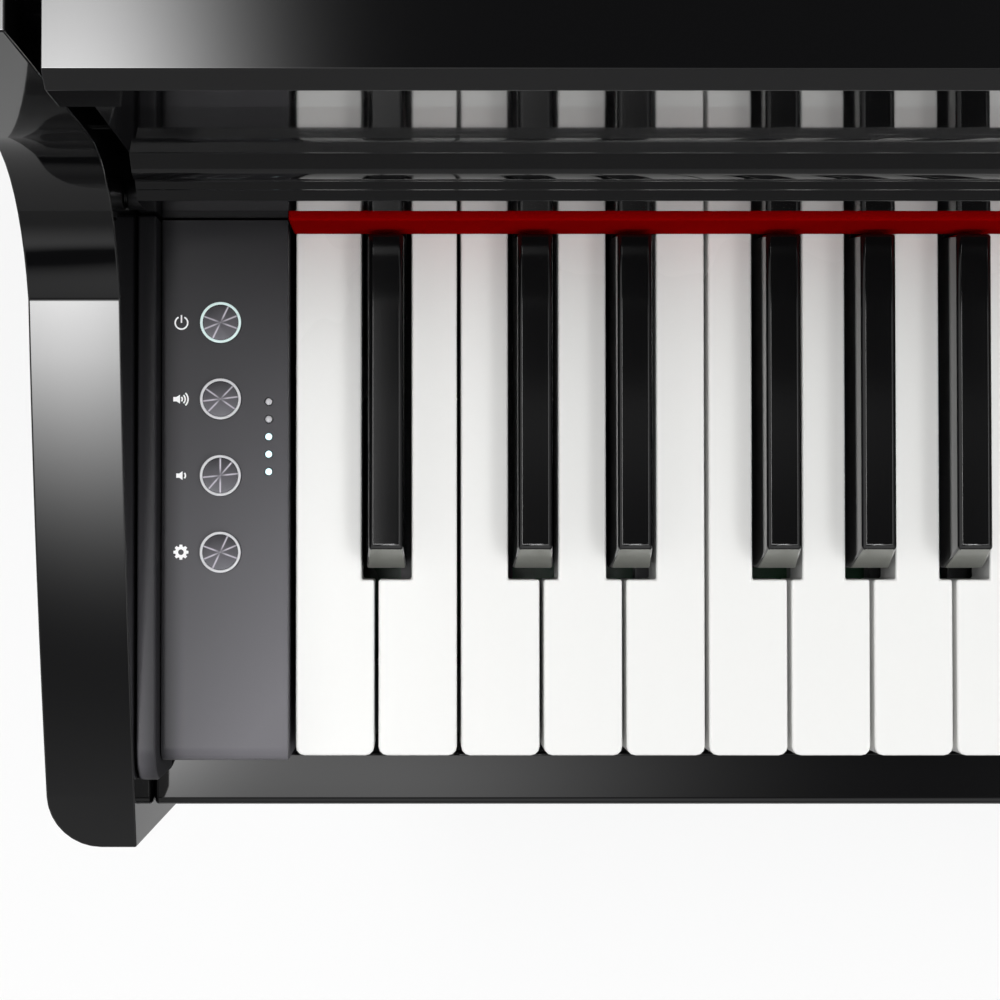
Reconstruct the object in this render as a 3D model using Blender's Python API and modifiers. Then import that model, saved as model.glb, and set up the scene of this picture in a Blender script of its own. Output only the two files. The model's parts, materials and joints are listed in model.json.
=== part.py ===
"""Digital grand piano, compact case: keyboard, control block, case, lid, desk and pedal lyre.

Metres, +Z up, +X to the treble end, +Y to the tail.  The origin is on the floor, at the
middle of the whole outline.  Two local measures run through the file: "back", the distance
behind the front edge of the white keys, and "up", the height above their top face.
"""

import math

import bmesh
import bpy
from mathutils import Matrix, Vector

# Keyboard
WHITE_COUNT = 52
WHITE_PITCH = 0.0235
KEY_GAP = 0.0012
HEAD_DEPTH = 0.0500
KEY_VISIBLE = 0.148
KEY_HEIGHT = 0.020
KEY_CORNER = 0.0025
KEY_DIP = 0.010
KEY_PIVOT_BACK = 0.222
KEY_TAIL_BACK = 0.228
KEY_BAR_DEPTH = 0.006
BLACK_SLOT = 0.0142
BLACK_BASE = 0.0114
BLACK_TOP = 0.0096
BLACK_RISE = 0.012
BLACK_FRONT_GAP = 0.0033
BLACK_SLOPE = 0.0056
BLACK_EDGE = 0.0012
BLACK_TAIL_RUN = 0.0018
BLACK_REAR_GAP = 0.0012
SHARP_OFFSETS = {"a": 0.0029, "c": -0.0024, "d": 0.0020, "f": -0.0034, "g": -0.0004}
WHITE_TOP_HEIGHT = 0.725

# Arms, end blocks and front
ARM_THICKNESS = 0.0243
BLOCK_ZONE = 0.0427
NOSE_REACH = 0.024
NOSE_UP = 0.0134
ARM_RISE = 0.318
ARM_CROWN = 0.60
ARM_CREASE = 22.0
ARM_FILLET = 0.053
WALL_BACK = 0.1575
NOSE_CORNER = 0.0145
ARM_STEPS = 10
STRIP_WIDTH = 0.0054
STRIP_UP = 0.017
STRIP_DROP = 0.010
STRIP_REACH = 0.006
BLOCK_KEY_GAP = 0.0018
BLOCK_UP = 0.008
BLOCK_WALL = 0.0025
BLOCK_FRONT_RADIUS = 0.004
SLIP_REACH = 0.0169
SLIP_DROP = 0.022
SLIP_EDGE = 0.0026
SLIP_LEAN = 5.5

# Buttons and lamps on the left block
BUTTON_RADIUS = 0.0056
BUTTON_PITCH = 0.0215
BUTTON_FIRST_BACK = 0.1223
BUTTON_INSET = 0.0189
BUTTON_PROUD = 0.0010
BUTTON_HEAD = 0.0052
BUTTON_STEM = 0.0030
BUTTON_TRAVEL = 0.0008
BUTTON_CLEARANCE = 0.0002
LAMP_COUNT = 5
LAMP_PITCH = 0.00492
LAMP_RADIUS = 0.0010
LAMP_FIRST_BACK = 0.1001
LAMP_INSET = 0.0054
LAMP_CLEARANCE = 0.0002
BOARD_THICKNESS = 0.0016

# Case
CASE_DEPTH = 0.930
RIM_UP = 0.200
RIM_THICKNESS = 0.022
RIM_LAP = 0.020
BENTSIDE_BACK = 0.500
BENTSIDE_CORNER = 0.060
TAIL_CORNER = 0.070
TAIL_WIDTH = 0.530
KEYBED_THICKNESS = 0.024
KEYBED_DEPTH = 0.260
BOTTOM_THICKNESS = 0.012
FELT_THICKNESS = 0.003
FELT_HEIGHT = 0.0256
RAIL_LIFT = 0.001
RAIL_SHELF_UP = 0.0225
RAIL_WALL_BACK = 0.1745
RAIL_WALL_THICKNESS = 0.016

# Fallboard
FALL_SIDE_GAP = 0.0062
FALL_PIN_BACK = 0.1539
FALL_PIN_UP = 0.036
FALL_PIN_RADIUS = 0.003
FALL_PIN_DEPTH = 0.008
FALL_BOTTOM_UP = 0.0285
FALL_TOP_UP = 0.197
FALL_THICKNESS = 0.0195
FALL_BAND_LOW = 0.045
FALL_BAND_UP = 0.061
FALL_LEAN = 42.0
FALL_FACETS = (0.0036, 0.0027)
FALL_BEAD = 0.0004
FALL_ROLL_FOOT = 0.0015
FALL_ROLL_RADIUS = 0.0083
FALL_SLOPE = 0.0047

# Top, music desk and lid
SHELF_DROP = 0.042
SHELF_THICKNESS = 0.012
FOLD_BACK = 0.345
LID_THICKNESS = 0.015
LID_OPEN_ANGLE = 27.0
HINGE_KNUCKLE = 0.003
HINGE_LEAF = 0.0012
DESK_WIDTH = 0.620
DESK_LENGTH = 0.150
DESK_THICKNESS = 0.008
DESK_ROD = 0.0065
DESK_PIN = 0.0032
DESK_BACK = 0.192
DESK_LEDGE = 0.018
DESK_OPEN_ANGLE = 68.0
STAY_WIDTH = 0.080
STAY_THICKNESS = 0.004
STAY_OFFSET = 0.060
STAY_LEAN = 60.0
STAY_PIN = 0.0012
EAR = 0.006
DECK_UP = 0.062
DECK_THICKNESS = 0.006
RISER_THICKNESS = 0.012
PROP_OFFSET = 0.720
PROP_LEAN = 58.0
PROP_WIDTH = 0.012
PROP_HEIGHT = 0.014
PROP_PIN = 0.0025
CUP_RADIUS = 0.020
CUP_THICKNESS = 0.003
LID_EDGE = 0.003

# Inside
FRAME_FLOOR = 0.004
FRAME_DROP = 0.062
FRAME_RAIL = 0.020
LEVER_PIVOT_BACK = 0.110
LEVER_FRONT_BACK = 0.034
LEVER_REAR_BACK = 0.186
LEVER_DROP = 0.035
LEVER_HEIGHT = 0.008
LEVER_WIDTH = 0.010
LEVER_BAR = 0.012
SPEAKER_RADIUS = 0.065
SPEAKER_DEPTH = 0.055
SPEAKER_RIM = 0.008
DUST_CAP = 0.28
DUST_CAP_DROP = 0.30
CONE_ROOT_DROP = 0.36
CONE_EDGE_DROP = 0.05
BASKET = 0.92
BASKET_DROP = 0.60
MAGNET = 0.55
SPEAKER_INSET = 0.178
SPEAKER_PITCH = 0.400
SPEAKER_BACKS = (0.620, 0.560)

# Stand
LEG_TOP = 0.090
LEG_FOOT = 0.062
GLIDE_RADIUS = 0.024
GLIDE_HEIGHT = 0.010
LEG_EDGE = 0.004
FRONT_LEG_INSET = 0.080
FRONT_LEG_BACK = 0.070
REAR_LEG_SIDE = -0.230
REAR_LEG_BACK = 0.790
LYRE_BACK = 0.170
LYRE_POST = 0.030
LYRE_SPREAD = 0.130
PEDAL_BOX_WIDTH = 0.260
PEDAL_BOX_DEPTH = 0.120
PEDAL_BOX_HEIGHT = 0.064
PEDAL_BOX_LIFT = 0.036
PEDAL_BOX_WALL = 0.008
STAND_EDGE = 0.003
PEDAL_PITCH = 0.066
PEDAL_REACH = 0.085
PEDAL_WIDTH = 0.026
PEDAL_STEM = 0.016
PEDAL_THICKNESS = 0.008
PEDAL_DIP = 0.014

# Sockets
JACK_BOX = (0.070, 0.075, 0.030)
JACK_BOX_INSET = 0.130
BOX_EDGE = 0.0015
JACK_RADIUS = 0.0032
JACK_DEPTH = 0.022
JACK_SHARES = (0.28, 0.72)
INLET_BOX = (0.110, 0.050, 0.026)
INLET_RADIUS = 0.0040
MAIN_BOARD = (0.220, 0.130)

GAP = 0.0003
RUNNING = 0.0006
PIN_CLEARANCE = 0.0003

# The bar that ties the joined black keys, below the white tails
BAR_BACK = 0.190
BAR_DEPTH = 0.010
BAR_HEIGHT = 0.008
BAR_RUN = 0.002

# Smaller places
FRAME_START = 0.004
FRAME_END = 0.244
SENSOR_DEPTH = 0.030
STEP_AHEAD = 0.0008
FALL_STEP = 0.0016
FALL_LIP = 0.020
FOLD_GAP = 0.0006
LID_FRONT_OVER = 0.004
HINGE_LEAF_DROP = 0.018
DESK_BEARING = 0.015
PROP_BACK = 0.385
PROP_FOOT_GAP = 0.0025
PEDAL_AXLE = 0.0025
JACK_BOX_BACK = 0.006
INLET_BACK = 0.760
CHIP = 0.018
CHIP_SHARES = (0.25, 0.6)
CHIP_BACK = 0.3

# Sizes that follow from the ones above
KEYBOARD_WIDTH = WHITE_COUNT * WHITE_PITCH
INNER_SIDE = KEYBOARD_WIDTH / 2 + BLOCK_ZONE
OUTER_SIDE = INNER_SIDE + ARM_THICKNESS
SPEAKER_PLACES = [
    (-OUTER_SIDE + SPEAKER_INSET + SPEAKER_PITCH * index, back)
    for index, back in enumerate(SPEAKER_BACKS)
]
OVERHANG = 2 * HINGE_KNUCKLE + GAP
FRONT_Y = -CASE_DEPTH / 2
KEY_FRONT_Y = FRONT_Y + NOSE_REACH
TAIL_BACK = CASE_DEPTH - NOSE_REACH - OVERHANG
FRAME_BOTTOM = FRAME_DROP + FRAME_FLOOR
KEYBED_UP = -FRAME_BOTTOM - GAP
CASE_UP = KEYBED_UP - KEYBED_THICKNESS
CASE_HEIGHT = WHITE_TOP_HEIGHT + CASE_UP
FELT_BACK = KEY_VISIBLE + GAP
RAIL_BACK = FELT_BACK + FELT_THICKNESS + GAP
RIGHT_WALL_BACK = BENTSIDE_BACK - BENTSIDE_CORNER - RIM_LAP
LEFT_WALL_BACK = TAIL_BACK - TAIL_CORNER - RIM_LAP
SHELF_UP = RIM_UP - SHELF_DROP
LID_UP = RIM_UP + GAP
LID_TOP_UP = LID_UP + LID_THICKNESS
BLOCK_INNER = -KEYBOARD_WIDTH / 2 - BLOCK_KEY_GAP + KEY_GAP / 2
BLOCK_OUTER = -INNER_SIDE + STRIP_WIDTH + 2 * GAP
BLOCK_REAR = RAIL_BACK - GAP
BLOCK_BOTTOM = KEYBED_UP + GAP
BOARD_UP = BLOCK_UP - BLOCK_WALL - 2 * BUTTON_HEAD
SLIP_KEY_GAP = STEP_AHEAD + GAP
KEYBED_START = -STEP_AHEAD


def y_at(back):
    """World Y of a place that far behind the white keys' front edge."""
    return KEY_FRONT_Y + back


def z_at(up):
    """World Z of a height above the white keys' top face."""
    return WHITE_TOP_HEIGHT + up


def arc(centre, radius, start, end, steps):
    """Points on an arc, angles in degrees, both ends included."""
    points = []
    for step in range(steps + 1):
        angle = math.radians(start + (end - start) * step / steps)
        x = centre[0] + radius * math.cos(angle)
        y = centre[1] + radius * math.sin(angle)
        points.append((x, y))
    return points


def material(name, colour, roughness, metallic=0.0, coat=0.0):
    """A Principled material."""
    made = bpy.data.materials.get(name)
    if made is None:
        made = bpy.data.materials.new(name)
        made.use_nodes = True
        shader = made.node_tree.nodes["Principled BSDF"]
        shader.inputs["Base Color"].default_value = (*colour, 1.0)
        shader.inputs["Roughness"].default_value = roughness
        shader.inputs["Metallic"].default_value = metallic
        shader.inputs["Coat Weight"].default_value = coat
    return made


def gloss_black():
    return material("gloss_black", (0.006, 0.006, 0.007), 0.08, coat=0.5)


def satin_black():
    return material("satin_black", (0.012, 0.012, 0.013), 0.45)


def panel_grey():
    return material("panel_grey", (0.060, 0.060, 0.068), 0.42)


def key_white():
    return material("key_white", (0.90, 0.90, 0.88), 0.22)


def key_black():
    return material("key_black", (0.008, 0.008, 0.009), 0.16)


def red_felt():
    return material("red_felt", (0.32, 0.004, 0.004), 0.95)


def brass():
    return material("brass", (0.62, 0.42, 0.16), 0.25, metallic=1.0)


def spun_metal():
    return material("spun_metal", (0.23, 0.23, 0.24), 0.35, metallic=1.0)


def raw_steel():
    return material("raw_steel", (0.42, 0.43, 0.44), 0.40, metallic=1.0)


def board_green():
    return material("board_green", (0.010, 0.095, 0.040), 0.50)


def deck_gold():
    return material("deck_gold", (0.34, 0.20, 0.075), 0.40)


def new_object(name, mesh, finish):
    """A part with its material, in the piano's collection."""
    mesh.name = name
    obj = bpy.data.objects.new(name, mesh)
    obj.data.materials.clear()
    obj.data.materials.append(finish)
    PIANO.objects.link(obj)
    return obj


def block_mesh(low, high):
    """A box between two corners."""
    work = bmesh.new()
    bmesh.ops.create_cube(work, size=1.0)
    size = [b - a for a, b in zip(low, high)]
    middle = [(a + b) / 2 for a, b in zip(low, high)]
    bmesh.ops.scale(work, vec=size, verts=work.verts)
    bmesh.ops.translate(work, vec=middle, verts=work.verts)
    mesh = bpy.data.meshes.new("block")
    work.to_mesh(mesh)
    work.free()
    return mesh


def block(name, finish, low, high, edge=0.0, segments=2):
    """A box with softened edges."""
    obj = new_object(name, block_mesh(low, high), finish)
    if edge:
        soften(obj, edge, segments)
    return obj


def soften(obj, width, segments=2):
    """Round the sharp edges."""
    bevel = obj.modifiers.new("soft_edges", "BEVEL")
    bevel.width = width
    bevel.segments = segments
    bevel.limit_method = "ANGLE"
    bevel.angle_limit = math.radians(40)


def outline_mesh(points, thickness, matrix):
    """A flat outline in a curve's own XY, thickened along its Z from 0, then placed."""
    curve = bpy.data.curves.new("outline", "CURVE")
    curve.dimensions = "2D"
    curve.fill_mode = "BOTH"
    curve.extrude = thickness / 2
    spline = curve.splines.new("POLY")
    spline.points.add(len(points) - 1)
    for point, (x, y) in zip(spline.points, points):
        point.co = (x, y, 0.0, 1.0)
    spline.use_cyclic_u = True
    carrier = bpy.data.objects.new("outline", curve)
    bpy.context.scene.collection.objects.link(carrier)
    bpy.context.view_layer.update()
    graph = bpy.context.evaluated_depsgraph_get()
    mesh = bpy.data.meshes.new_from_object(carrier.evaluated_get(graph))
    bpy.data.objects.remove(carrier)
    work = bmesh.new()
    work.from_mesh(mesh)
    bmesh.ops.remove_doubles(work, verts=work.verts, dist=1e-6)
    bmesh.ops.translate(work, vec=(0, 0, thickness / 2), verts=work.verts)
    bmesh.ops.transform(work, matrix=matrix, verts=work.verts)
    bmesh.ops.recalc_face_normals(work, faces=work.faces)
    bmesh.ops.dissolve_limit(work, angle_limit=0.001, verts=work.verts, edges=work.edges)
    work.to_mesh(mesh)
    work.free()
    return mesh


def side_matrix(x):
    """Curve XY becomes back and up; its thickness runs along +X from x."""
    rows = ((0, 0, 1, x), (1, 0, 0, KEY_FRONT_Y), (0, 1, 0, WHITE_TOP_HEIGHT), (0, 0, 0, 1))
    return Matrix(rows)


def plan_matrix(up):
    """Curve XY becomes world X and back; its thickness runs along +Z from a height."""
    return Matrix.Translation((0, KEY_FRONT_Y, z_at(up)))


def side_plate(name, finish, points, low_x, high_x):
    """A shape with one outline seen from the side, between two X places."""
    return new_object(name, outline_mesh(points, high_x - low_x, side_matrix(low_x)), finish)


def plan_plate(name, finish, points, low_up, high_up):
    """A shape with one outline seen from above, between two heights."""
    return new_object(name, outline_mesh(points, high_up - low_up, plan_matrix(low_up)), finish)


def rod_mesh(radius, start, end, sides=20):
    """A round bar between two points."""
    start, end = Vector(start), Vector(end)
    along = end - start
    work = bmesh.new()
    bmesh.ops.create_cone(
        work,
        cap_ends=True,
        segments=sides,
        radius1=radius,
        radius2=radius,
        depth=along.length,
    )
    turn = along.to_track_quat("Z", "Y").to_matrix().to_4x4()
    place = Matrix.Translation((start + end) / 2) @ turn
    bmesh.ops.transform(work, matrix=place, verts=work.verts)
    mesh = bpy.data.meshes.new("rod")
    work.to_mesh(mesh)
    work.free()
    return mesh


def helper(mesh):
    """A cutting or joining shape that isn't a part."""
    obj = bpy.data.objects.new("cutter", mesh)
    CUTTERS.objects.link(obj)
    obj.hide_render = True
    obj.display_type = "WIRE"
    return obj


def combine(obj, mesh, operation):
    """Cut a shape out of a part, or join one to it."""
    step = obj.modifiers.new(operation.lower(), "BOOLEAN")
    step.operation = operation
    step.solver = "EXACT"
    step.object = helper(mesh)
    return obj


def cut(obj, *meshes):
    for mesh in meshes:
        combine(obj, mesh, "DIFFERENCE")
    return obj


def join(obj, *meshes):
    for mesh in meshes:
        combine(obj, mesh, "UNION")
    return obj


def hang_on(obj, pivot):
    """Put a part's origin on its joint axis."""
    pivot = Vector(pivot)
    obj.data.transform(Matrix.Translation(-pivot))
    obj.location = pivot
    return obj


def turned_mesh(profile, centre, sides=24):
    """A turned shape from (radius, height) points that run from top to bottom."""
    mesh = bpy.data.meshes.new("turned")
    work = bmesh.new()
    corners = [work.verts.new((radius, 0.0, height)) for radius, height in profile]
    for first, second in zip(corners, corners[1:]):
        work.edges.new((first, second))
    work.to_mesh(mesh)
    work.free()
    carrier = bpy.data.objects.new("turned", mesh)
    bpy.context.scene.collection.objects.link(carrier)
    screw = carrier.modifiers.new("turn", "SCREW")
    screw.steps = sides
    screw.render_steps = sides
    screw.use_merge_vertices = True
    screw.merge_threshold = 1e-6
    bpy.context.view_layer.update()
    graph = bpy.context.evaluated_depsgraph_get()
    solid = bpy.data.meshes.new_from_object(carrier.evaluated_get(graph))
    bpy.data.objects.remove(carrier)
    solid.transform(Matrix.Translation(centre))
    work = bmesh.new()
    work.from_mesh(solid)
    bmesh.ops.remove_doubles(work, verts=work.verts, dist=1e-6)
    bmesh.ops.recalc_face_normals(work, faces=work.faces)
    work.to_mesh(solid)
    work.free()
    return solid


# Keys

LETTERS = "abcdefg"
SHARP_LETTERS = "acdfg"
SHOWN_WHITES = 9
SHOWN_BLACKS = 6


def white_letter(index):
    return LETTERS[index % 7]


def white_octave(index):
    """Scientific octave number: it rises at each c."""
    return (index + 5) // 7


def boundary(index):
    """World X of the joint line left of a white key."""
    return -KEYBOARD_WIDTH / 2 + index * WHITE_PITCH


def sharp_centre(index):
    """World X of the black key to the right of a white key, or None."""
    letter = white_letter(index)
    if letter not in SHARP_LETTERS or not 0 <= index < WHITE_COUNT - 1:
        return None
    return boundary(index + 1) + SHARP_OFFSETS[letter]


def white_sides(index):
    """Left and right X of a white key's head and of its narrow tail."""
    head = (boundary(index) + KEY_GAP / 2, boundary(index + 1) - KEY_GAP / 2)
    left, right = head
    if sharp_centre(index - 1) is not None:
        left = sharp_centre(index - 1) + BLACK_SLOT / 2
    if sharp_centre(index) is not None:
        right = sharp_centre(index) - BLACK_SLOT / 2
    return head, (left, right)


def white_front(index, steps):
    """A white key's outline from its tail's left end round the head to its tail's right end."""
    (head_left, head_right), (left, right) = white_sides(index)
    points = [(left, KEY_TAIL_BACK)]
    if left > head_left:
        points += [(left, HEAD_DEPTH), (head_left, HEAD_DEPTH)]
    points += arc((head_left + KEY_CORNER, KEY_CORNER), KEY_CORNER, 180, 270, steps)
    points += arc((head_right - KEY_CORNER, KEY_CORNER), KEY_CORNER, 270, 360, steps)
    if right < head_right:
        points += [(head_right, HEAD_DEPTH), (right, HEAD_DEPTH)]
    points.append((right, KEY_TAIL_BACK))
    return points


def key_pivot(x=0.0):
    return (x, y_at(KEY_PIVOT_BACK), z_at(-KEY_HEIGHT))


def make_white_keys():
    """Nine separate keys at the bass end, and the other 43 as one comb."""
    for index in range(SHOWN_WHITES):
        name = f"white_key_{white_letter(index)}{white_octave(index)}"
        key = plan_plate(name, key_white(), white_front(index, 3), -KEY_HEIGHT, 0.0)
        hang_on(key, key_pivot((boundary(index) + boundary(index + 1)) / 2))
    points = []
    for index in range(SHOWN_WHITES, WHITE_COUNT):
        points += white_front(index, 1)
    bar_back = KEY_TAIL_BACK + KEY_BAR_DEPTH
    points += [(points[-1][0], bar_back), (points[0][0], bar_back)]
    comb = plan_plate("white_keys_c2_to_c8", key_white(), points, -KEY_HEIGHT, 0.0)
    hang_on(comb, key_pivot())


def black_key_mesh(x, footed=False):
    """A capped black key: sloped front, narrower top with soft edges, low stick behind."""
    front = HEAD_DEPTH + BLACK_FRONT_GAP
    rear = KEY_TAIL_BACK - BLACK_TAIL_RUN
    points = [(front, -KEY_HEIGHT)]
    if footed:
        foot = -KEY_HEIGHT - BAR_RUN - BAR_HEIGHT / 2
        points += [(BAR_BACK, -KEY_HEIGHT), (BAR_BACK, foot)]
        points += [(BAR_BACK + BAR_DEPTH, foot), (BAR_BACK + BAR_DEPTH, -KEY_HEIGHT)]
    points += [
        (rear, -KEY_HEIGHT),
        (rear, -RAIL_LIFT),
        (KEY_VISIBLE - GAP, -RAIL_LIFT),
        (KEY_VISIBLE - BLACK_REAR_GAP, BLACK_RISE),
        (front + BLACK_SLOPE, BLACK_RISE),
        (front, -RAIL_LIFT),
    ]
    mesh = outline_mesh(points, BLACK_BASE, side_matrix(x - BLACK_BASE / 2))
    work = bmesh.new()
    work.from_mesh(mesh)
    crown = {vert for vert in work.verts if vert.co.z > z_at(BLACK_RISE / 2)}
    for vert in crown:
        vert.co.x = x + (vert.co.x - x) * BLACK_TOP / BLACK_BASE
    rear_y = y_at(KEY_VISIBLE - BLACK_REAR_GAP) - GAP
    edges = []
    for edge in work.edges:
        on_top = all(vert in crown for vert in edge.verts)
        if on_top and any(vert.co.y < rear_y for vert in edge.verts):
            edges.append(edge)
    bmesh.ops.bevel(
        work,
        geom=edges,
        offset=BLACK_EDGE,
        segments=2,
        profile=0.5,
        affect="EDGES",
        material=-1,
    )
    work.to_mesh(mesh)
    work.free()
    return mesh


def make_black_keys():
    """Six separate keys at the bass end, and the other 30 on one bar under the white tails."""
    centres = []
    for index in range(WHITE_COUNT):
        if sharp_centre(index) is not None:
            centres.append((index, sharp_centre(index)))
    for index, x in centres[:SHOWN_BLACKS]:
        name = f"black_key_{white_letter(index)}s{white_octave(index)}"
        hang_on(new_object(name, black_key_mesh(x), key_black()), key_pivot(x))
    work = bmesh.new()
    for index, x in centres[SHOWN_BLACKS:]:
        work.from_mesh(black_key_mesh(x, footed=True))
    mesh = bpy.data.meshes.new("black_comb")
    work.to_mesh(mesh)
    work.free()
    comb = new_object("black_keys_cs2_to_as7", mesh, key_black())
    first = centres[SHOWN_BLACKS][1] - BLACK_BASE
    last = centres[-1][1] + BLACK_BASE
    top = -KEY_HEIGHT - BAR_RUN
    low = (first, y_at(BAR_BACK - BAR_RUN), z_at(top - BAR_HEIGHT))
    high = (last, y_at(BAR_BACK + BAR_DEPTH + BAR_RUN), z_at(top))
    pivot = Vector(key_pivot())
    bar = block_mesh(low, high)
    bar.transform(Matrix.Translation(-pivot))
    hang_on(comb, pivot)
    join(comb, bar)
    comb.modifiers[-1].use_self = True
    comb.modifiers[-1].object.location = pivot


# Keyboard frame, levers and sensor board


def make_key_action():
    """The frame that the keys pivot on, the weighted levers under them and their sensors."""
    floor = -FRAME_BOTTOM
    deck = floor + FRAME_FLOOR
    stop = -KEY_HEIGHT - KEY_DIP - RUNNING
    ridge = KEY_PIVOT_BACK
    half = FRAME_RAIL / 2
    axle = -LEVER_DROP - LEVER_HEIGHT - RUNNING
    frame = [
        (FRAME_START, floor),
        (FRAME_END, floor),
        (FRAME_END, -KEY_HEIGHT / 2),
        (FRAME_END - FRAME_FLOOR, -KEY_HEIGHT / 2),
        (FRAME_END - FRAME_FLOOR, deck),
        (ridge + half, deck),
        (ridge, -KEY_HEIGHT - GAP),
        (ridge - half, deck),
        (LEVER_PIVOT_BACK + half / 2, deck),
        (LEVER_PIVOT_BACK, axle),
        (LEVER_PIVOT_BACK - half / 2, deck),
        (FRAME_START + FRAME_RAIL, deck),
        (FRAME_START + FRAME_RAIL, stop),
        (FRAME_START, stop),
    ]
    side = KEYBOARD_WIDTH / 2 - GAP
    side_plate("key_frame", raw_steel(), frame, -side, side)

    fingers = []
    low = LEVER_PIVOT_BACK - LEVER_BAR / 2
    high = LEVER_PIVOT_BACK + LEVER_BAR / 2
    for index in range(WHITE_COUNT):
        middle = boundary(index) + WHITE_PITCH / 2
        for x, back in ((-1, low), (-1, LEVER_FRONT_BACK), (1, LEVER_FRONT_BACK), (1, low)):
            fingers.append((middle + x * LEVER_WIDTH / 2, back))
    for index in reversed(range(WHITE_COUNT)):
        middle = boundary(index) + WHITE_PITCH / 2
        for x, back in ((1, high), (1, LEVER_REAR_BACK), (-1, LEVER_REAR_BACK), (-1, high)):
            fingers.append((middle + x * LEVER_WIDTH / 2, back))
    top = -LEVER_DROP
    levers = plan_plate("hammer_levers", satin_black(), fingers, top - LEVER_HEIGHT, top)
    hang_on(levers, (0, y_at(LEVER_PIVOT_BACK), z_at(top - LEVER_HEIGHT)))

    start = FRAME_START + FRAME_RAIL + GAP
    low_corner = (-side, y_at(start), z_at(deck + GAP))
    high_corner = (side, y_at(start + SENSOR_DEPTH), z_at(deck + GAP + BOARD_THICKNESS))
    block("key_sensor_board", board_green(), low_corner, high_corner)


# End blocks, side strips, buttons and lamps


def end_block_outline():
    """Side view of an end block: flat top, rounded front edge."""
    start = -STEP_AHEAD
    radius = BLOCK_FRONT_RADIUS
    points = [(start, BLOCK_BOTTOM), (BLOCK_REAR, BLOCK_BOTTOM), (BLOCK_REAR, BLOCK_UP)]
    return points + arc((start + radius, BLOCK_UP - radius), radius, 90, 180, 4)


def strip_outline():
    """Side view of a side strip: level, then a falling and rounded front end."""
    start = -STRIP_REACH
    radius = STRIP_DROP
    crown = STRIP_UP - radius
    step = -STEP_AHEAD
    foot = GAP - SLIP_DROP
    points = [(start, foot), (step, foot), (step, BLOCK_BOTTOM)]
    points += [(BLOCK_REAR, BLOCK_BOTTOM), (BLOCK_REAR, STRIP_UP)]
    return points + arc((start + radius, crown), radius, 90, 180, 6)


def button_places():
    """Name and place of each button, rear to front."""
    names = ("power", "volume_up", "volume_down", "function")
    x = BLOCK_INNER - BUTTON_INSET
    return [(n, x, BUTTON_FIRST_BACK - i * BUTTON_PITCH) for i, n in enumerate(names)]


def lamp_places():
    x = BLOCK_INNER - LAMP_INSET
    return [(x, LAMP_FIRST_BACK - i * LAMP_PITCH) for i in range(LAMP_COUNT)]


def make_end_blocks():
    """Left block with the controls, its mirror image at the treble end, and two strips."""
    points = end_block_outline()
    left = side_plate("control_block_left", panel_grey(), points, BLOCK_OUTER, BLOCK_INNER)
    cavity_low = (BLOCK_OUTER + BLOCK_WALL, y_at(BLOCK_WALL), z_at(BLOCK_BOTTOM - BLOCK_WALL))
    cavity_high = (
        BLOCK_INNER - BLOCK_WALL,
        y_at(BLOCK_REAR - BLOCK_WALL),
        z_at(BLOCK_UP - BLOCK_WALL),
    )
    tools = [block_mesh(cavity_low, cavity_high)]
    reach = BLOCK_WALL * 2
    for name, x, back in button_places():
        hole = BUTTON_RADIUS + BUTTON_CLEARANCE
        low = (x, y_at(back), z_at(BLOCK_UP - reach))
        high = (x, y_at(back), z_at(BLOCK_UP + reach))
        tools.append(rod_mesh(hole, low, high, 24))
    for x, back in lamp_places():
        low = (x, y_at(back), z_at(BLOCK_UP - reach))
        high = (x, y_at(back), z_at(BLOCK_UP + reach))
        tools.append(rod_mesh(LAMP_RADIUS + LAMP_CLEARANCE, low, high, 12))
    cut(left, *tools)
    side_plate("cheek_block_right", panel_grey(), points, -BLOCK_INNER, -BLOCK_OUTER)

    outer = INNER_SIDE - GAP
    strip = strip_outline()
    side_plate("side_strip_left", panel_grey(), strip, -outer, -outer + STRIP_WIDTH)
    side_plate("side_strip_right", panel_grey(), strip, outer - STRIP_WIDTH, outer)


def make_buttons():
    """Four round push buttons and the board that they press, with its five lamp guides."""
    top = BLOCK_UP + BUTTON_PROUD
    shoulder = top - BUTTON_HEAD
    foot = BOARD_UP + GAP + BUTTON_TRAVEL
    edge = BUTTON_PROUD / 2
    profile = [
        (0.0, top),
        (BUTTON_RADIUS - edge, top),
        (BUTTON_RADIUS, top - edge),
        (BUTTON_RADIUS, shoulder),
        (BUTTON_STEM, shoulder),
        (BUTTON_STEM, foot),
        (0.0, foot),
    ]
    for name, x, back in button_places():
        mesh = turned_mesh(profile, (x, y_at(back), WHITE_TOP_HEIGHT), 20)
        hang_on(new_object(f"button_{name}", mesh, spun_metal()), (x, y_at(back), z_at(top)))
    margin = BLOCK_WALL + GAP
    low = (BLOCK_OUTER + margin, y_at(margin), z_at(BOARD_UP - BOARD_THICKNESS))
    high = (BLOCK_INNER - margin, y_at(BLOCK_REAR - margin), z_at(BOARD_UP))
    board = block("control_board", board_green(), low, high)
    lamps = []
    for x, back in lamp_places():
        base = (x, y_at(back), z_at(BOARD_UP - BOARD_THICKNESS / 2))
        tip = (x, y_at(back), z_at(BLOCK_UP))
        lamps.append(rod_mesh(LAMP_RADIUS, base, tip, 10))
    join(board, *lamps)


# Case


def arm_up(back):
    """Height of an arm's top edge: it rises from the nose and flattens towards the player's hands."""
    run = back + NOSE_REACH
    return NOSE_UP + ARM_RISE * run - ARM_CROWN * run * run


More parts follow.
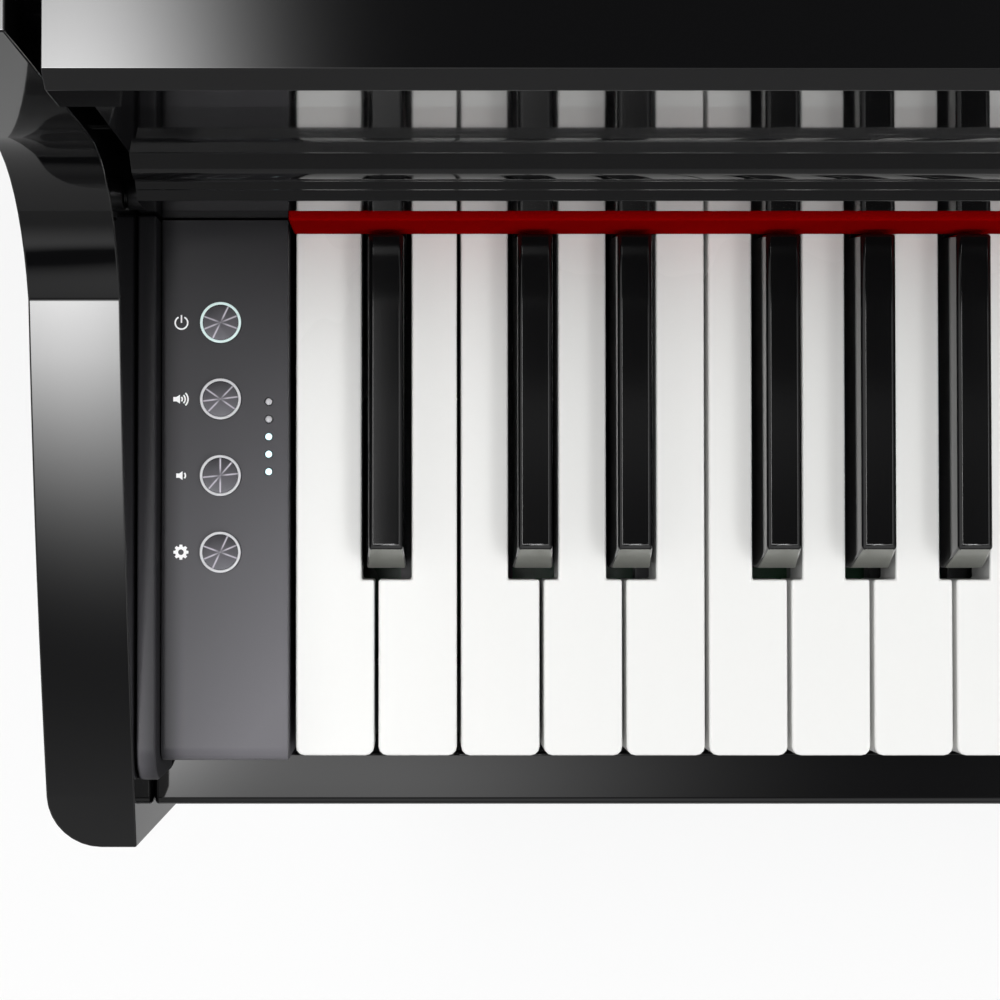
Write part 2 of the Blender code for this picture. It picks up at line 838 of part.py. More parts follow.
def arm_outline(rear):
    """Side view of a side board: crowned arm, a crease, concave rise, full height behind."""
    steep = math.radians(ARM_CREASE)
    start = WALL_BACK - ARM_FILLET * (1 - math.sin(steep))
    centre = (WALL_BACK - ARM_FILLET, arm_up(start) + ARM_FILLET * math.cos(steep))
    points = [(-NOSE_REACH, CASE_UP), (rear, CASE_UP), (rear, RIM_UP), (WALL_BACK, RIM_UP)]
    points += arc(centre, ARM_FILLET, 0, ARM_CREASE - 90, 10)
    for step in reversed(range(ARM_STEPS)):
        back = -NOSE_REACH + (start + NOSE_REACH) * step / ARM_STEPS
        points.append((back, arm_up(back)))
    return points


def rim_outline():
    """Outer plan line of the rim from the right board's end round the tail to the left board."""
    straight = OUTER_SIDE - BENTSIDE_CORNER
    points = [(OUTER_SIDE, RIGHT_WALL_BACK)]
    corner = (straight, BENTSIDE_BACK - BENTSIDE_CORNER)
    points += arc(corner, BENTSIDE_CORNER, 0, 90, 6)
    tail_edge = -OUTER_SIDE + TAIL_WIDTH
    steps = 18
    for step in range(1, steps + 1):
        share = step / steps
        x = straight + (tail_edge - straight) * share
        rise = (1 - math.cos(math.pi * share)) / 2
        points.append((x, BENTSIDE_BACK + (TAIL_BACK - BENTSIDE_BACK) * rise))
    corner = (-OUTER_SIDE + TAIL_CORNER, TAIL_BACK - TAIL_CORNER)
    points += arc(corner, TAIL_CORNER, 90, 180, 8)
    points.append((-OUTER_SIDE, LEFT_WALL_BACK))
    return points


def inset(points, distance):
    """An open line of points moved sideways, to its left as it runs."""
    moved = []
    for index, point in enumerate(points):
        before = Vector(points[max(index - 1, 0)])
        after = Vector(points[min(index + 1, len(points) - 1)])
        along = (after - before).normalized()
        moved.append((point[0] - along.y * distance, point[1] + along.x * distance))
    return moved


def make_case():
    """Side boards with their arms, the bent rim, keybed, bottom and front pieces."""
    rim = rim_outline()
    for name, low_x, rear in (
        ("side_board_left", -OUTER_SIDE, LEFT_WALL_BACK - GAP),
        ("side_board_right", INNER_SIDE, RIGHT_WALL_BACK - GAP),
    ):
        side = side_plate(name, gloss_black(), arm_outline(rear), low_x, low_x + ARM_THICKNESS)
        work = bmesh.new()
        work.from_mesh(side.data)
        outer_x = -OUTER_SIDE if low_x < 0 else OUTER_SIDE
        nose = y_at(-NOSE_REACH)
        edges = []
        for edge in work.edges:
            if all(abs(v.co.x - outer_x) < GAP and abs(v.co.y - nose) < GAP for v in edge.verts):
                edges.append(edge)
        bmesh.ops.bevel(
            work,
            geom=edges,
            offset=NOSE_CORNER,
            segments=8,
            profile=0.5,
            affect="EDGES",
            material=-1,
        )
        work.to_mesh(side.data)
        work.free()
        inward = math.copysign(INNER_SIDE, low_x)
        axis_y = y_at(FALL_PIN_BACK)
        axis_z = z_at(FALL_PIN_UP)
        start = (inward - math.copysign(GAP, low_x), axis_y, axis_z)
        end = (inward + math.copysign(FALL_PIN_DEPTH + GAP, low_x), axis_y, axis_z)
        cut(side, rod_mesh(FALL_PIN_RADIUS + PIN_CLEARANCE, start, end, 16))

    ring = rim + list(reversed(inset(rim, RIM_THICKNESS)))
    plan_plate("rim", gloss_black(), ring, CASE_UP, RIM_UP)

    side = INNER_SIDE - GAP
    low = (-side, y_at(KEYBED_START), z_at(CASE_UP))
    high = (side, y_at(KEYBED_DEPTH), z_at(KEYBED_UP))
    block("keybed", satin_black(), low, high)
    floor = case_inside(KEYBED_DEPTH + GAP)
    top = CASE_UP + BOTTOM_THICKNESS
    plan_plate("bottom_board", satin_black(), floor, CASE_UP, top)

    edge = SLIP_EDGE
    lean = math.radians(SLIP_LEAN)
    turn_back = -SLIP_REACH + edge - edge * math.sin(lean)
    turn_up = -SLIP_DROP - (-SLIP_KEY_GAP - turn_back) * math.tan(lean)
    centre = (-SLIP_REACH + edge, turn_up - edge * math.cos(lean))
    slip = [(-SLIP_KEY_GAP, CASE_UP), (-SLIP_KEY_GAP, -SLIP_DROP)]
    slip += arc(centre, edge, 90 + SLIP_LEAN, 180, 4)
    slip.append((-SLIP_REACH, CASE_UP))
    side_plate("key_slip", gloss_black(), slip, -side, side)


def case_inside(start, clearance=GAP):
    """Plan of a board that fills the case behind a line."""
    inner = inset(rim_outline(), RIM_THICKNESS + clearance)
    side = INNER_SIDE - clearance
    inner = [(min(max(x, -side), side), back) for x, back in inner]
    return [(-side, start), (side, start)] + inner


def make_rails():
    """The red felt behind the keys and the wooden rail that it is glued to."""
    side = KEYBOARD_WIDTH / 2
    low = (-side, y_at(FELT_BACK), z_at(RAIL_LIFT))
    high = (side, y_at(FELT_BACK + FELT_THICKNESS), z_at(RAIL_LIFT + FELT_HEIGHT))
    block("name_felt", red_felt(), low, high)
    wall_rear = RAIL_WALL_BACK + RAIL_WALL_THICKNESS
    shelf_bottom = SHELF_UP - SHELF_THICKNESS - GAP
    rail = [
        (RAIL_BACK, RAIL_LIFT),
        (wall_rear, RAIL_LIFT),
        (wall_rear, shelf_bottom),
        (RAIL_WALL_BACK, shelf_bottom),
        (RAIL_WALL_BACK, RAIL_SHELF_UP),
        (RAIL_BACK, RAIL_SHELF_UP),
    ]
    side_plate("name_rail", satin_black(), rail, -INNER_SIDE + GAP, INNER_SIDE - GAP)


def cover_moulding(face):
    """The open cover's face, upwards: flat band over the felt, two leaning facets, a roll."""
    lean = math.radians(FALL_LEAN)
    points = [(face, FALL_BAND_LOW), (face, FALL_BAND_UP)]
    for length, upright in zip(FALL_FACETS, (FALL_BEAD, FALL_ROLL_FOOT)):
        back, up = points[-1]
        points.append((back + length * math.sin(lean), up + length * math.cos(lean)))
        points.append((points[-1][0], points[-1][1] + upright))
    back, up = points.pop()
    centre = (back + FALL_ROLL_RADIUS, up)
    points += arc(centre, FALL_ROLL_RADIUS, 180, 180 - FALL_LEAN, 5)
    back, up = points[-1]
    points.append((back + FALL_SLOPE * math.sin(lean), up + FALL_SLOPE * math.cos(lean)))
    return points


def make_fallboard():
    """The hinged key cover, standing open: mouldings on its face, a pin at each end."""
    face = KEY_VISIBLE
    core = RAIL_BACK + RUNNING
    back = face + FALL_THICKNESS
    low = FALL_BOTTOM_UP
    moulding = cover_moulding(face)
    inner = moulding[-1][0]
    points = [
        (back - FALL_STEP * 2, low),
        (back, low + FALL_STEP * 4),
        (back, FALL_TOP_UP),
        (face + FALL_STEP * 2, FALL_TOP_UP),
        (face, FALL_TOP_UP - FALL_STEP * 3),
        (face, FALL_TOP_UP - FALL_LIP),
        (inner, FALL_TOP_UP - FALL_LIP - (inner - face)),
    ]
    points += reversed(moulding)
    points += [(core, FALL_BAND_LOW), (core, low)]
    side = INNER_SIDE - FALL_SIDE_GAP
    fall = side_plate("fallboard", gloss_black(), points, -side, side)
    pivot = Vector((0, y_at(FALL_PIN_BACK), z_at(FALL_PIN_UP)))
    hang_on(fall, pivot)
    for way in (-1, 1):
        start = (way * (side - FALL_PIN_DEPTH), 0, 0)
        end = (way * (INNER_SIDE + FALL_PIN_DEPTH - GAP), 0, 0)
        join(fall, rod_mesh(FALL_PIN_RADIUS, start, end, 16))
        fall.modifiers[-1].object.location = pivot


# Top shelf, music desk, deck and speakers


def make_top():
    """The fixed shelf, the folding desk on it, and the desk's strut."""
    side = INNER_SIDE - GAP
    low = (-side, y_at(RAIL_WALL_BACK), z_at(SHELF_UP - SHELF_THICKNESS))
    high = (side, y_at(FOLD_BACK), z_at(SHELF_UP))
    shelf = block("top_shelf", gloss_black(), low, high)
    axis_up = SHELF_UP + GAP + DESK_ROD
    axis = Vector((0, y_at(DESK_BACK), z_at(axis_up)))
    bearing = DESK_ROD + DESK_PIN / 2
    half = DESK_WIDTH / 2
    for way in (-1, 1):
        near = way * (half + GAP)
        far = way * (half + GAP + DESK_BEARING)
        start, end = min(near, far), max(near, far)
        low = (start, axis.y - bearing, z_at(SHELF_UP - SHELF_THICKNESS / 2))
        high = (end, axis.y + bearing, axis.z + bearing)
        join(shelf, block_mesh(low, high))
        bore_start = (start - GAP, axis.y, axis.z)
        bore_end = (end + GAP, axis.y, axis.z)
        cut(shelf, rod_mesh(DESK_PIN + PIN_CLEARANCE, bore_start, bore_end, 16))

    plate_low = DESK_ROD / 2
    low = (-half, 0, plate_low)
    high = (half, DESK_LENGTH, plate_low + DESK_THICKNESS)
    desk = block("music_desk", gloss_black(), low, high)
    desk.location = axis
    ledge_low = (-half, -DESK_ROD, 0)
    ledge_high = (half, DESK_ROD / 2, plate_low + DESK_LEDGE)
    rod = rod_mesh(DESK_ROD, (-half, 0, 0), (half, 0, 0), 20)
    pins = rod_mesh(DESK_PIN, (-half - DESK_BEARING, 0, 0), (half + DESK_BEARING, 0, 0), 16)
    ear_low = stay_height() - EAR / 2
    tools = [rod, pins, block_mesh(ledge_low, ledge_high)]
    for way in (-1, 1):
        near = way * (STAY_WIDTH / 2 + GAP)
        far = way * (STAY_WIDTH / 2 + GAP + EAR)
        low = (min(near, far), STAY_OFFSET - EAR / 2, ear_low)
        high = (max(near, far), STAY_OFFSET + EAR / 2, plate_low + DESK_THICKNESS / 2)
        tools.append(block_mesh(low, high))
    join(desk, *tools)
    reach = STAY_WIDTH / 2 + EAR * 2
    start = (-reach, STAY_OFFSET, stay_height())
    end = (reach, STAY_OFFSET, stay_height())
    cut(desk, rod_mesh(STAY_PIN + PIN_CLEARANCE, start, end, 12))
    for step in desk.modifiers:
        step.object.location = axis

    half = STAY_WIDTH / 2
    thick = STAY_THICKNESS / 2
    stay = block("desk_stay", brass(), (-half, -thick, -thick), (half, stay_length(), thick))
    stay.location = axis + Vector((0, STAY_OFFSET, stay_height()))
    reach = half + EAR
    join(stay, rod_mesh(STAY_PIN, (-reach, 0, 0), (reach, 0, 0), 12))
    stay.modifiers[-1].object.location = stay.location


def stay_height():
    """Height of the strut's pin over the desk's axis, with the desk folded flat."""
    return DESK_ROD / 2 - GAP - RUNNING - STAY_THICKNESS / 2


def stay_length():
    """Length that puts the strut's foot on the shelf when the desk is fully up."""
    lift = math.radians(DESK_OPEN_ANGLE)
    rise = STAY_OFFSET * math.sin(lift) + stay_height() * math.cos(lift)
    pin_up = DESK_ROD + GAP + rise
    lean = math.radians(STAY_LEAN)
    foot = GAP + RUNNING + STAY_THICKNESS / 2 * math.cos(lean)
    return (pin_up - foot) / math.sin(lean)


def make_deck():
    """The panel inside the rim with its front riser, and two loudspeakers under it."""
    start = FOLD_BACK + GAP
    top = DECK_UP
    deck = plan_plate("inner_deck", deck_gold(), case_inside(start), top - DECK_THICKNESS, top)
    side = INNER_SIDE - RUNNING
    low = (-side, y_at(start + GAP), z_at(top - DECK_THICKNESS / 2))
    high = (side, y_at(start + RISER_THICKNESS), z_at(SHELF_UP))
    join(deck, block_mesh(low, high))
    for x, back in SPEAKER_PLACES:
        bottom = (x, y_at(back), z_at(top - DECK_THICKNESS * 2))
        ceiling = (x, y_at(back), z_at(top + DECK_THICKNESS))
        cut(deck, rod_mesh(SPEAKER_RADIUS - SPEAKER_RIM, bottom, ceiling, 32))
    for name, (x, back) in zip(("speaker_bass_side", "speaker_treble_side"), SPEAKER_PLACES):
        rim = SPEAKER_RADIUS
        cone = rim - SPEAKER_RIM
        up = top - DECK_THICKNESS - GAP
        profile = [
            (0.0, up - SPEAKER_DEPTH * DUST_CAP_DROP),
            (rim * DUST_CAP, up - SPEAKER_DEPTH * CONE_ROOT_DROP),
            (cone, up - SPEAKER_DEPTH * CONE_EDGE_DROP),
            (cone, up),
            (rim, up),
            (rim, up - SPEAKER_RIM / 2),
            (rim * BASKET, up - SPEAKER_RIM / 2),
            (rim * MAGNET, up - SPEAKER_DEPTH * BASKET_DROP),
            (rim * MAGNET, up - SPEAKER_DEPTH),
            (0.0, up - SPEAKER_DEPTH),
        ]
        mesh = turned_mesh(profile, (x, y_at(back), WHITE_TOP_HEIGHT), 24)
        new_object(name, mesh, satin_black())


# Lid and prop


def lid_plan():
    """Plan of the main lid behind the fold line, with its overhang at right and rear."""
    outer = inset(rim_outline(), -OVERHANG)
    outer[0] = (OUTER_SIDE + OVERHANG, outer[0][1])
    outer = [(max(x, -OUTER_SIDE), back) for x, back in outer]
    line = FOLD_BACK + FOLD_GAP
    start = [(-OUTER_SIDE, line), (OUTER_SIDE + OVERHANG, line)]
    return start + outer


def prop_stick_length():
    """Length that stands the stick on its cup when the lid is fully open."""
    lift = math.radians(LID_OPEN_ANGLE)
    pin = prop_pin_height()
    rise = PROP_OFFSET * math.sin(lift) + pin * math.cos(lift)
    foot = DECK_UP + CUP_THICKNESS + PROP_HEIGHT / 2 + PROP_FOOT_GAP
    level = rise + (RIM_UP + GAP / 2) - foot
    return level / math.sin(math.radians(PROP_LEAN))


def prop_pin_height():
    """Height of the stick's pin over the lid's own axis, below the lid: a negative number."""
    return GAP / 2 - RUNNING - PROP_HEIGHT / 2


def make_lid():
    """Main lid with the stick's ears, the folded front flap, hinges, stick and cup."""
    axis = Vector((-OUTER_SIDE - HINGE_KNUCKLE - GAP, 0, z_at(RIM_UP + GAP / 2)))
    stick_y = y_at(PROP_BACK)
    pin = prop_pin_height()
    lid = plan_plate("lid_main", gloss_black(), lid_plan(), LID_UP, LID_TOP_UP)
    lid.data.transform(Matrix.Translation(-axis))
    lid.location = axis
    tools = []
    for way in (-1, 1):
        near = way * (PROP_WIDTH / 2 + GAP)
        far = way * (PROP_WIDTH / 2 + GAP + EAR)
        low = (PROP_OFFSET - EAR, stick_y + min(near, far), pin - EAR)
        high = (PROP_OFFSET + EAR, stick_y + max(near, far), LID_THICKNESS / 2)
        tools.append(block_mesh(low, high))
    join(lid, *tools)
    reach = PROP_WIDTH / 2 + EAR * 2
    start = (PROP_OFFSET, stick_y - reach, pin)
    end = (PROP_OFFSET, stick_y + reach, pin)
    cut(lid, rod_mesh(PROP_PIN + PIN_CLEARANCE, start, end, 12))
    for step in lid.modifiers:
        step.object.location = axis

    fold_z = z_at(LID_TOP_UP + GAP)
    width = OUTER_SIDE + OVERHANG
    length = FOLD_BACK - FOLD_GAP - WALL_BACK + LID_FRONT_OVER
    fold = Vector((0, y_at(FOLD_BACK), fold_z))
    low = (-OUTER_SIDE, FOLD_GAP, GAP)
    high = (width, FOLD_GAP + length, GAP + LID_THICKNESS)
    flap = block("lid_front_flap", gloss_black(), low, high, LID_EDGE)
    flap.location = fold

    knuckle = rod_mesh(
        HINGE_KNUCKLE,
        (axis.x, y_at(FOLD_BACK + LID_FRONT_OVER), axis.z),
        (axis.x, y_at(TAIL_BACK - TAIL_CORNER * 2), axis.z),
        12,
    )
    hinge = new_object("lid_hinge", knuckle, brass())
    leaf_low = (
        axis.x - HINGE_LEAF / 2,
        y_at(FOLD_BACK + LID_FRONT_OVER),
        z_at(RIM_UP - HINGE_LEAF_DROP),
    )
    leaf_high = (-OUTER_SIDE - GAP, y_at(TAIL_BACK - TAIL_CORNER * 2), axis.z)
    join(hinge, block_mesh(leaf_low, leaf_high))

    length = prop_stick_length()
    half = PROP_HEIGHT / 2
    shape = arc((0, 0), half, 90, 270, 8) + arc((length, 0), half, -90, 90, 8)
    rows = ((1, 0, 0, 0), (0, 0, -1, PROP_WIDTH / 2), (0, 1, 0, 0), (0, 0, 0, 1))
    mesh = outline_mesh(shape, PROP_WIDTH, Matrix(rows))
    stick = new_object("lid_prop", mesh, gloss_black())
    stick.location = axis + Vector((PROP_OFFSET, stick_y, pin))
    reach = PROP_WIDTH / 2 + EAR
    join(stick, rod_mesh(PROP_PIN, (0, -reach, 0), (0, reach, 0), 12))
    stick.modifiers[-1].object.location = stick.location

    lift = math.radians(LID_OPEN_ANGLE)
    x = axis.x + PROP_OFFSET * math.cos(lift) - pin * math.sin(lift)
    x += length * math.cos(math.radians(PROP_LEAN))
    up = DECK_UP + GAP
    low = (x, stick_y, z_at(up))
    high = (x, stick_y, z_at(up + CUP_THICKNESS - GAP))
    new_object("prop_cup", rod_mesh(CUP_RADIUS, low, high, 24), brass())


# Legs, pedals and sockets


def tapered_mesh(x, back, top, foot, height, top_z):
    """A square post that narrows towards its foot."""
    work = bmesh.new()
    bmesh.ops.create_cube(work, size=1.0)
    for vert in work.verts:
        width = top if vert.co.z > 0 else foot
        vert.co.x = x + math.copysign(width / 2, vert.co.x)
        vert.co.y = y_at(back) + math.copysign(width / 2, vert.co.y)
        vert.co.z = top_z if vert.co.z > 0 else top_z - height
    bmesh.ops.bevel(
        work,
        geom=work.edges[:],
        offset=LEG_EDGE,
        segments=2,
        profile=0.5,
        affect="EDGES",
        material=-1,
    )
    mesh = bpy.data.meshes.new("leg")
    work.to_mesh(mesh)
    work.free()
    return mesh


def make_legs():
    side = OUTER_SIDE - FRONT_LEG_INSET
    places = (
        ("leg_front_left", -side, FRONT_LEG_BACK),
        ("leg_front_right", side, FRONT_LEG_BACK),
        ("leg_rear", REAR_LEG_SIDE, REAR_LEG_BACK),
    )
    top_z = CASE_HEIGHT - GAP
    for name, x, back in places:
        mesh = tapered_mesh(x, back, LEG_TOP, LEG_FOOT, top_z - GLIDE_HEIGHT, top_z)
        leg = new_object(name, mesh, gloss_black())
        low = (x, y_at(back), 0)
        high = (x, y_at(back), GLIDE_HEIGHT * 2)
        join(leg, rod_mesh(GLIDE_RADIUS, low, high, 20))


def make_pedals():
    """The lyre's two posts, the hollow pedal box and three pedals."""
    bottom = PEDAL_BOX_LIFT
    top = bottom + PEDAL_BOX_HEIGHT
    rear = LYRE_BACK + PEDAL_BOX_DEPTH / 2
    front = LYRE_BACK - PEDAL_BOX_DEPTH / 2
    half = PEDAL_BOX_WIDTH / 2
    post = LYRE_POST / 2
    high_z = CASE_HEIGHT - GAP
    crown_low = (-LYRE_SPREAD / 2 - LYRE_POST, y_at(LYRE_BACK - LYRE_POST), high_z - LYRE_POST)
    crown_high = (LYRE_SPREAD / 2 + LYRE_POST, y_at(LYRE_BACK + LYRE_POST), high_z)
    lyre = block("pedal_lyre", gloss_black(), crown_low, crown_high)
    for way in (-1, 1):
        x = way * LYRE_SPREAD / 2
        low = (x - post, y_at(LYRE_BACK - post), top + GAP)
        high = (x + post, y_at(LYRE_BACK + post), high_z - LYRE_POST / 2)
        join(lyre, block_mesh(low, high))

    box_low = (-half, y_at(front), bottom)
    box_high = (half, y_at(rear), top)
    box = block("pedal_box", gloss_black(), box_low, box_high, STAND_EDGE)
    wall = PEDAL_BOX_WALL
    inside_low = (-half + wall, y_at(front + wall), bottom - wall)
    inside_high = (half - wall, y_at(rear - wall), top - wall)
    tools = [block_mesh(inside_low, inside_high)]
    level = bottom + PEDAL_BOX_HEIGHT / 2
    hinge_back = rear - wall * 2
    names = ("pedal_soft", "pedal_sostenuto", "pedal_damper")
    for index, name in enumerate(names):
        x = (index - 1) * PEDAL_PITCH
        slot = PEDAL_STEM / 2 + RUNNING * 2
        low = (x - slot, y_at(front - wall), level - PEDAL_THICKNESS / 2 - PEDAL_DIP)
        high = (x + slot, y_at(front + wall * 2), level + PEDAL_THICKNESS / 2 + RUNNING)
        tools.append(block_mesh(low, high))
        make_pedal(name, x, front, hinge_back, level)
    cut(box, *tools)
    axle = (half - wall / 2, y_at(hinge_back), level)
    other = (-half + wall / 2, y_at(hinge_back), level)
    join(box, rod_mesh(PEDAL_AXLE, other, axle, 12))


def make_pedal(name, x, front, hinge_back, level):
    """A brass pedal: round toe, narrow stem, eye at the axle."""
    stem = PEDAL_STEM / 2
    toe = PEDAL_WIDTH / 2
    tip = front - PEDAL_REACH
    points = [(x - stem, hinge_back), (x - stem, front - PEDAL_REACH / 3)]
    points += [(x - toe, tip + toe * 2)]
    points += arc((x, tip + toe), toe, 180, 360, 8)
    points += [(x + toe, tip + toe * 2), (x + stem, front - PEDAL_REACH / 3)]
    points += [(x + stem, hinge_back)]
    half = PEDAL_THICKNESS / 2
    up = level - WHITE_TOP_HEIGHT
    pedal = plan_plate(name, brass(), points, up - half, up + half)
    pivot = Vector((x, y_at(hinge_back), level))
    hang_on(pedal, pivot)
    eye = half + PEDAL_AXLE
    join(pedal, rod_mesh(eye, (-stem, 0, 0), (stem, 0, 0), 16))
    cut(pedal, rod_mesh(PEDAL_AXLE + PIN_CLEARANCE, (-stem * 2, 0, 0), (stem * 2, 0, 0), 12))
    for step in pedal.modifiers:
        step.object.location = pivot


def make_sockets():
    """Headphone box at the front, power inlet box at the rear, main board inside."""
    width, depth, height = JACK_BOX
    x = -INNER_SIDE + JACK_BOX_INSET
    top = CASE_HEIGHT - GAP
    low = (x, y_at(JACK_BOX_BACK), top - height)
    high = (x + width, y_at(JACK_BOX_BACK + depth), top)
    box = block("headphone_box", satin_black(), low, high, BOX_EDGE)
    for share in JACK_SHARES:
        start = (x + width * share, low[1] - GAP, top - height / 2)
        end = (x + width * share, low[1] + JACK_DEPTH, top - height / 2)
        cut(box, rod_mesh(JACK_RADIUS, start, end, 16))

    width, depth, height = INLET_BOX
    low = (-width / 2 + REAR_LEG_SIDE / 2, y_at(INLET_BACK - depth), top - height)
    high = (width / 2 + REAR_LEG_SIDE / 2, y_at(INLET_BACK), top)
    inlet = block("power_inlet_box", satin_black(), low, high, BOX_EDGE)
    middle = ((low[0] + high[0]) / 2, high[1] - depth / 2, top - height / 2)
    outside = ((low[0] + high[0]) / 2, high[1] + GAP, top - height / 2)
    cut(inlet, rod_mesh(INLET_RADIUS, middle, outside, 16))

    width, depth = MAIN_BOARD
    floor = z_at(CASE_UP + BOTTOM_THICKNESS) + GAP
    low = (-width / 2, y_at(KEYBED_DEPTH + GAP * 2), floor)
    high = (width / 2, y_at(KEYBED_DEPTH + depth), floor + BOARD_THICKNESS)
    board = block("main_board", board_green(), low, high)
    for share in CHIP_SHARES:
        x = -width / 2 + width * share
        near = y_at(KEYBED_DEPTH + depth * CHIP_BACK)
        chip_low = (x, near, floor + BOARD_THICKNESS / 2)
        chip_high = (x + CHIP, near + CHIP, floor + CHIP / 4)
        join(board, block_mesh(chip_low, chip_high))


def clear_scene():
    for obj in list(bpy.data.objects):
        bpy.data.objects.remove(obj)
    for collection in list(bpy.data.collections):
        bpy.data.collections.remove(collection)


def new_collection(name):
    collection = bpy.data.collections.new(name)
    bpy.context.scene.collection.children.link(collection)
    return collection


clear_scene()
PIANO = new_collection("digital_grand_piano")
CUTTERS = new_collection("cutters")
make_white_keys()
make_black_keys()
make_key_action()
make_end_blocks()
make_buttons()
make_case()
make_rails()
make_fallboard()
make_top()
make_deck()
make_lid()
make_legs()
make_pedals()
make_sockets()
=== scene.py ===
"""Looks of the compact digital grand piano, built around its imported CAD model."""
import json
import math

import bmesh
import bpy
from mathutils import Matrix, Vector


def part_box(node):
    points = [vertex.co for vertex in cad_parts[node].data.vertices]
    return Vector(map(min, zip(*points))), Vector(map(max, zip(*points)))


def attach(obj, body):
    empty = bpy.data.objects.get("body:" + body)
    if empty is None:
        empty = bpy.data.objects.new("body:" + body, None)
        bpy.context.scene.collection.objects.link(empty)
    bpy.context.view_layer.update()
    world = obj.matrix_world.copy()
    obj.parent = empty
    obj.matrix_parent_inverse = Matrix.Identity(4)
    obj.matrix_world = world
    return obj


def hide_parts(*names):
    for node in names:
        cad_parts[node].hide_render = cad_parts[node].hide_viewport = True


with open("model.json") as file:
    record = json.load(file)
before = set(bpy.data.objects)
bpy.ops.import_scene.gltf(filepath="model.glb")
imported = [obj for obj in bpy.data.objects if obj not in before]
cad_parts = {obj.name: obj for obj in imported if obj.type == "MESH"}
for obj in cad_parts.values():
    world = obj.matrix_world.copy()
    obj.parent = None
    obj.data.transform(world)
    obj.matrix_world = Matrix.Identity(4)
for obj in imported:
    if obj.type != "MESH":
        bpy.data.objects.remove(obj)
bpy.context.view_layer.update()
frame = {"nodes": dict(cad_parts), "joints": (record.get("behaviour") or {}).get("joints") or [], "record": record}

# Keybed and bottom board
#
# Two boards of dense fibreboard, painted satin black on every side.  The keybed carries the
# key frame; the bottom board closes the case behind it.  Their edges are eased by sanding.

BODY_OF = {node: body for body, nodes in frame["record"]["behaviour"]["bodies"].items() for node in nodes}


def new_group(name, inputs, outputs):
    """An empty shader node group with named sockets; returns it with its two end nodes."""
    group = bpy.data.node_groups.new(name, "ShaderNodeTree")
    for socket, kind, value in inputs:
        made = group.interface.new_socket(socket, in_out="INPUT", socket_type=kind)
        if value is not None:
            made.default_value = value
    for socket, kind in outputs:
        group.interface.new_socket(socket, in_out="OUTPUT", socket_type=kind)
    return group, group.nodes.new("NodeGroupInput"), group.nodes.new("NodeGroupOutput")


def uneven_sheen_group():
    """Roughness that wanders between two values, as on a hand-polished surface."""
    group, given, out = new_group(
        "uneven_sheen",
        (("Vector", "NodeSocketVector", None), ("Scale", "NodeSocketFloat", 6.0),
         ("Low", "NodeSocketFloat", 0.1), ("High", "NodeSocketFloat", 0.2)),
        (("Roughness", "NodeSocketFloat"),))
    cloud = group.nodes.new("ShaderNodeTexNoise")
    cloud.inputs["Detail"].default_value = 4.0
    spread = group.nodes.new("ShaderNodeMapRange")
    spread.inputs["From Min"].default_value = 0.3
    spread.inputs["From Max"].default_value = 0.7
    group.links.new(given.outputs["Vector"], cloud.inputs["Vector"])
    group.links.new(given.outputs["Scale"], cloud.inputs["Scale"])
    group.links.new(cloud.outputs["Fac"], spread.inputs["Value"])
    group.links.new(given.outputs["Low"], spread.inputs["To Min"])
    group.links.new(given.outputs["High"], spread.inputs["To Max"])
    group.links.new(spread.outputs["Result"], out.inputs["Roughness"])
    return group


def fine_relief_group():
    """A shallow random relief: orange peel, pores or moulded grain, by its scale and depth."""
    group, given, out = new_group(
        "fine_relief",
        (("Vector", "NodeSocketVector", None), ("Scale", "NodeSocketFloat", 400.0),
         ("Strength", "NodeSocketFloat", 0.1), ("Depth", "NodeSocketFloat", 0.0001)),
        (("Normal", "NodeSocketVector"),))
    cloud = group.nodes.new("ShaderNodeTexNoise")
    cloud.inputs["Detail"].default_value = 2.0
    relief = group.nodes.new("ShaderNodeBump")
    group.links.new(given.outputs["Vector"], cloud.inputs["Vector"])
    group.links.new(given.outputs["Scale"], cloud.inputs["Scale"])
    group.links.new(given.outputs["Strength"], relief.inputs["Strength"])
    group.links.new(given.outputs["Depth"], relief.inputs["Distance"])
    group.links.new(cloud.outputs["Fac"], relief.inputs["Height"])
    group.links.new(relief.outputs["Normal"], out.inputs["Normal"])
    return group


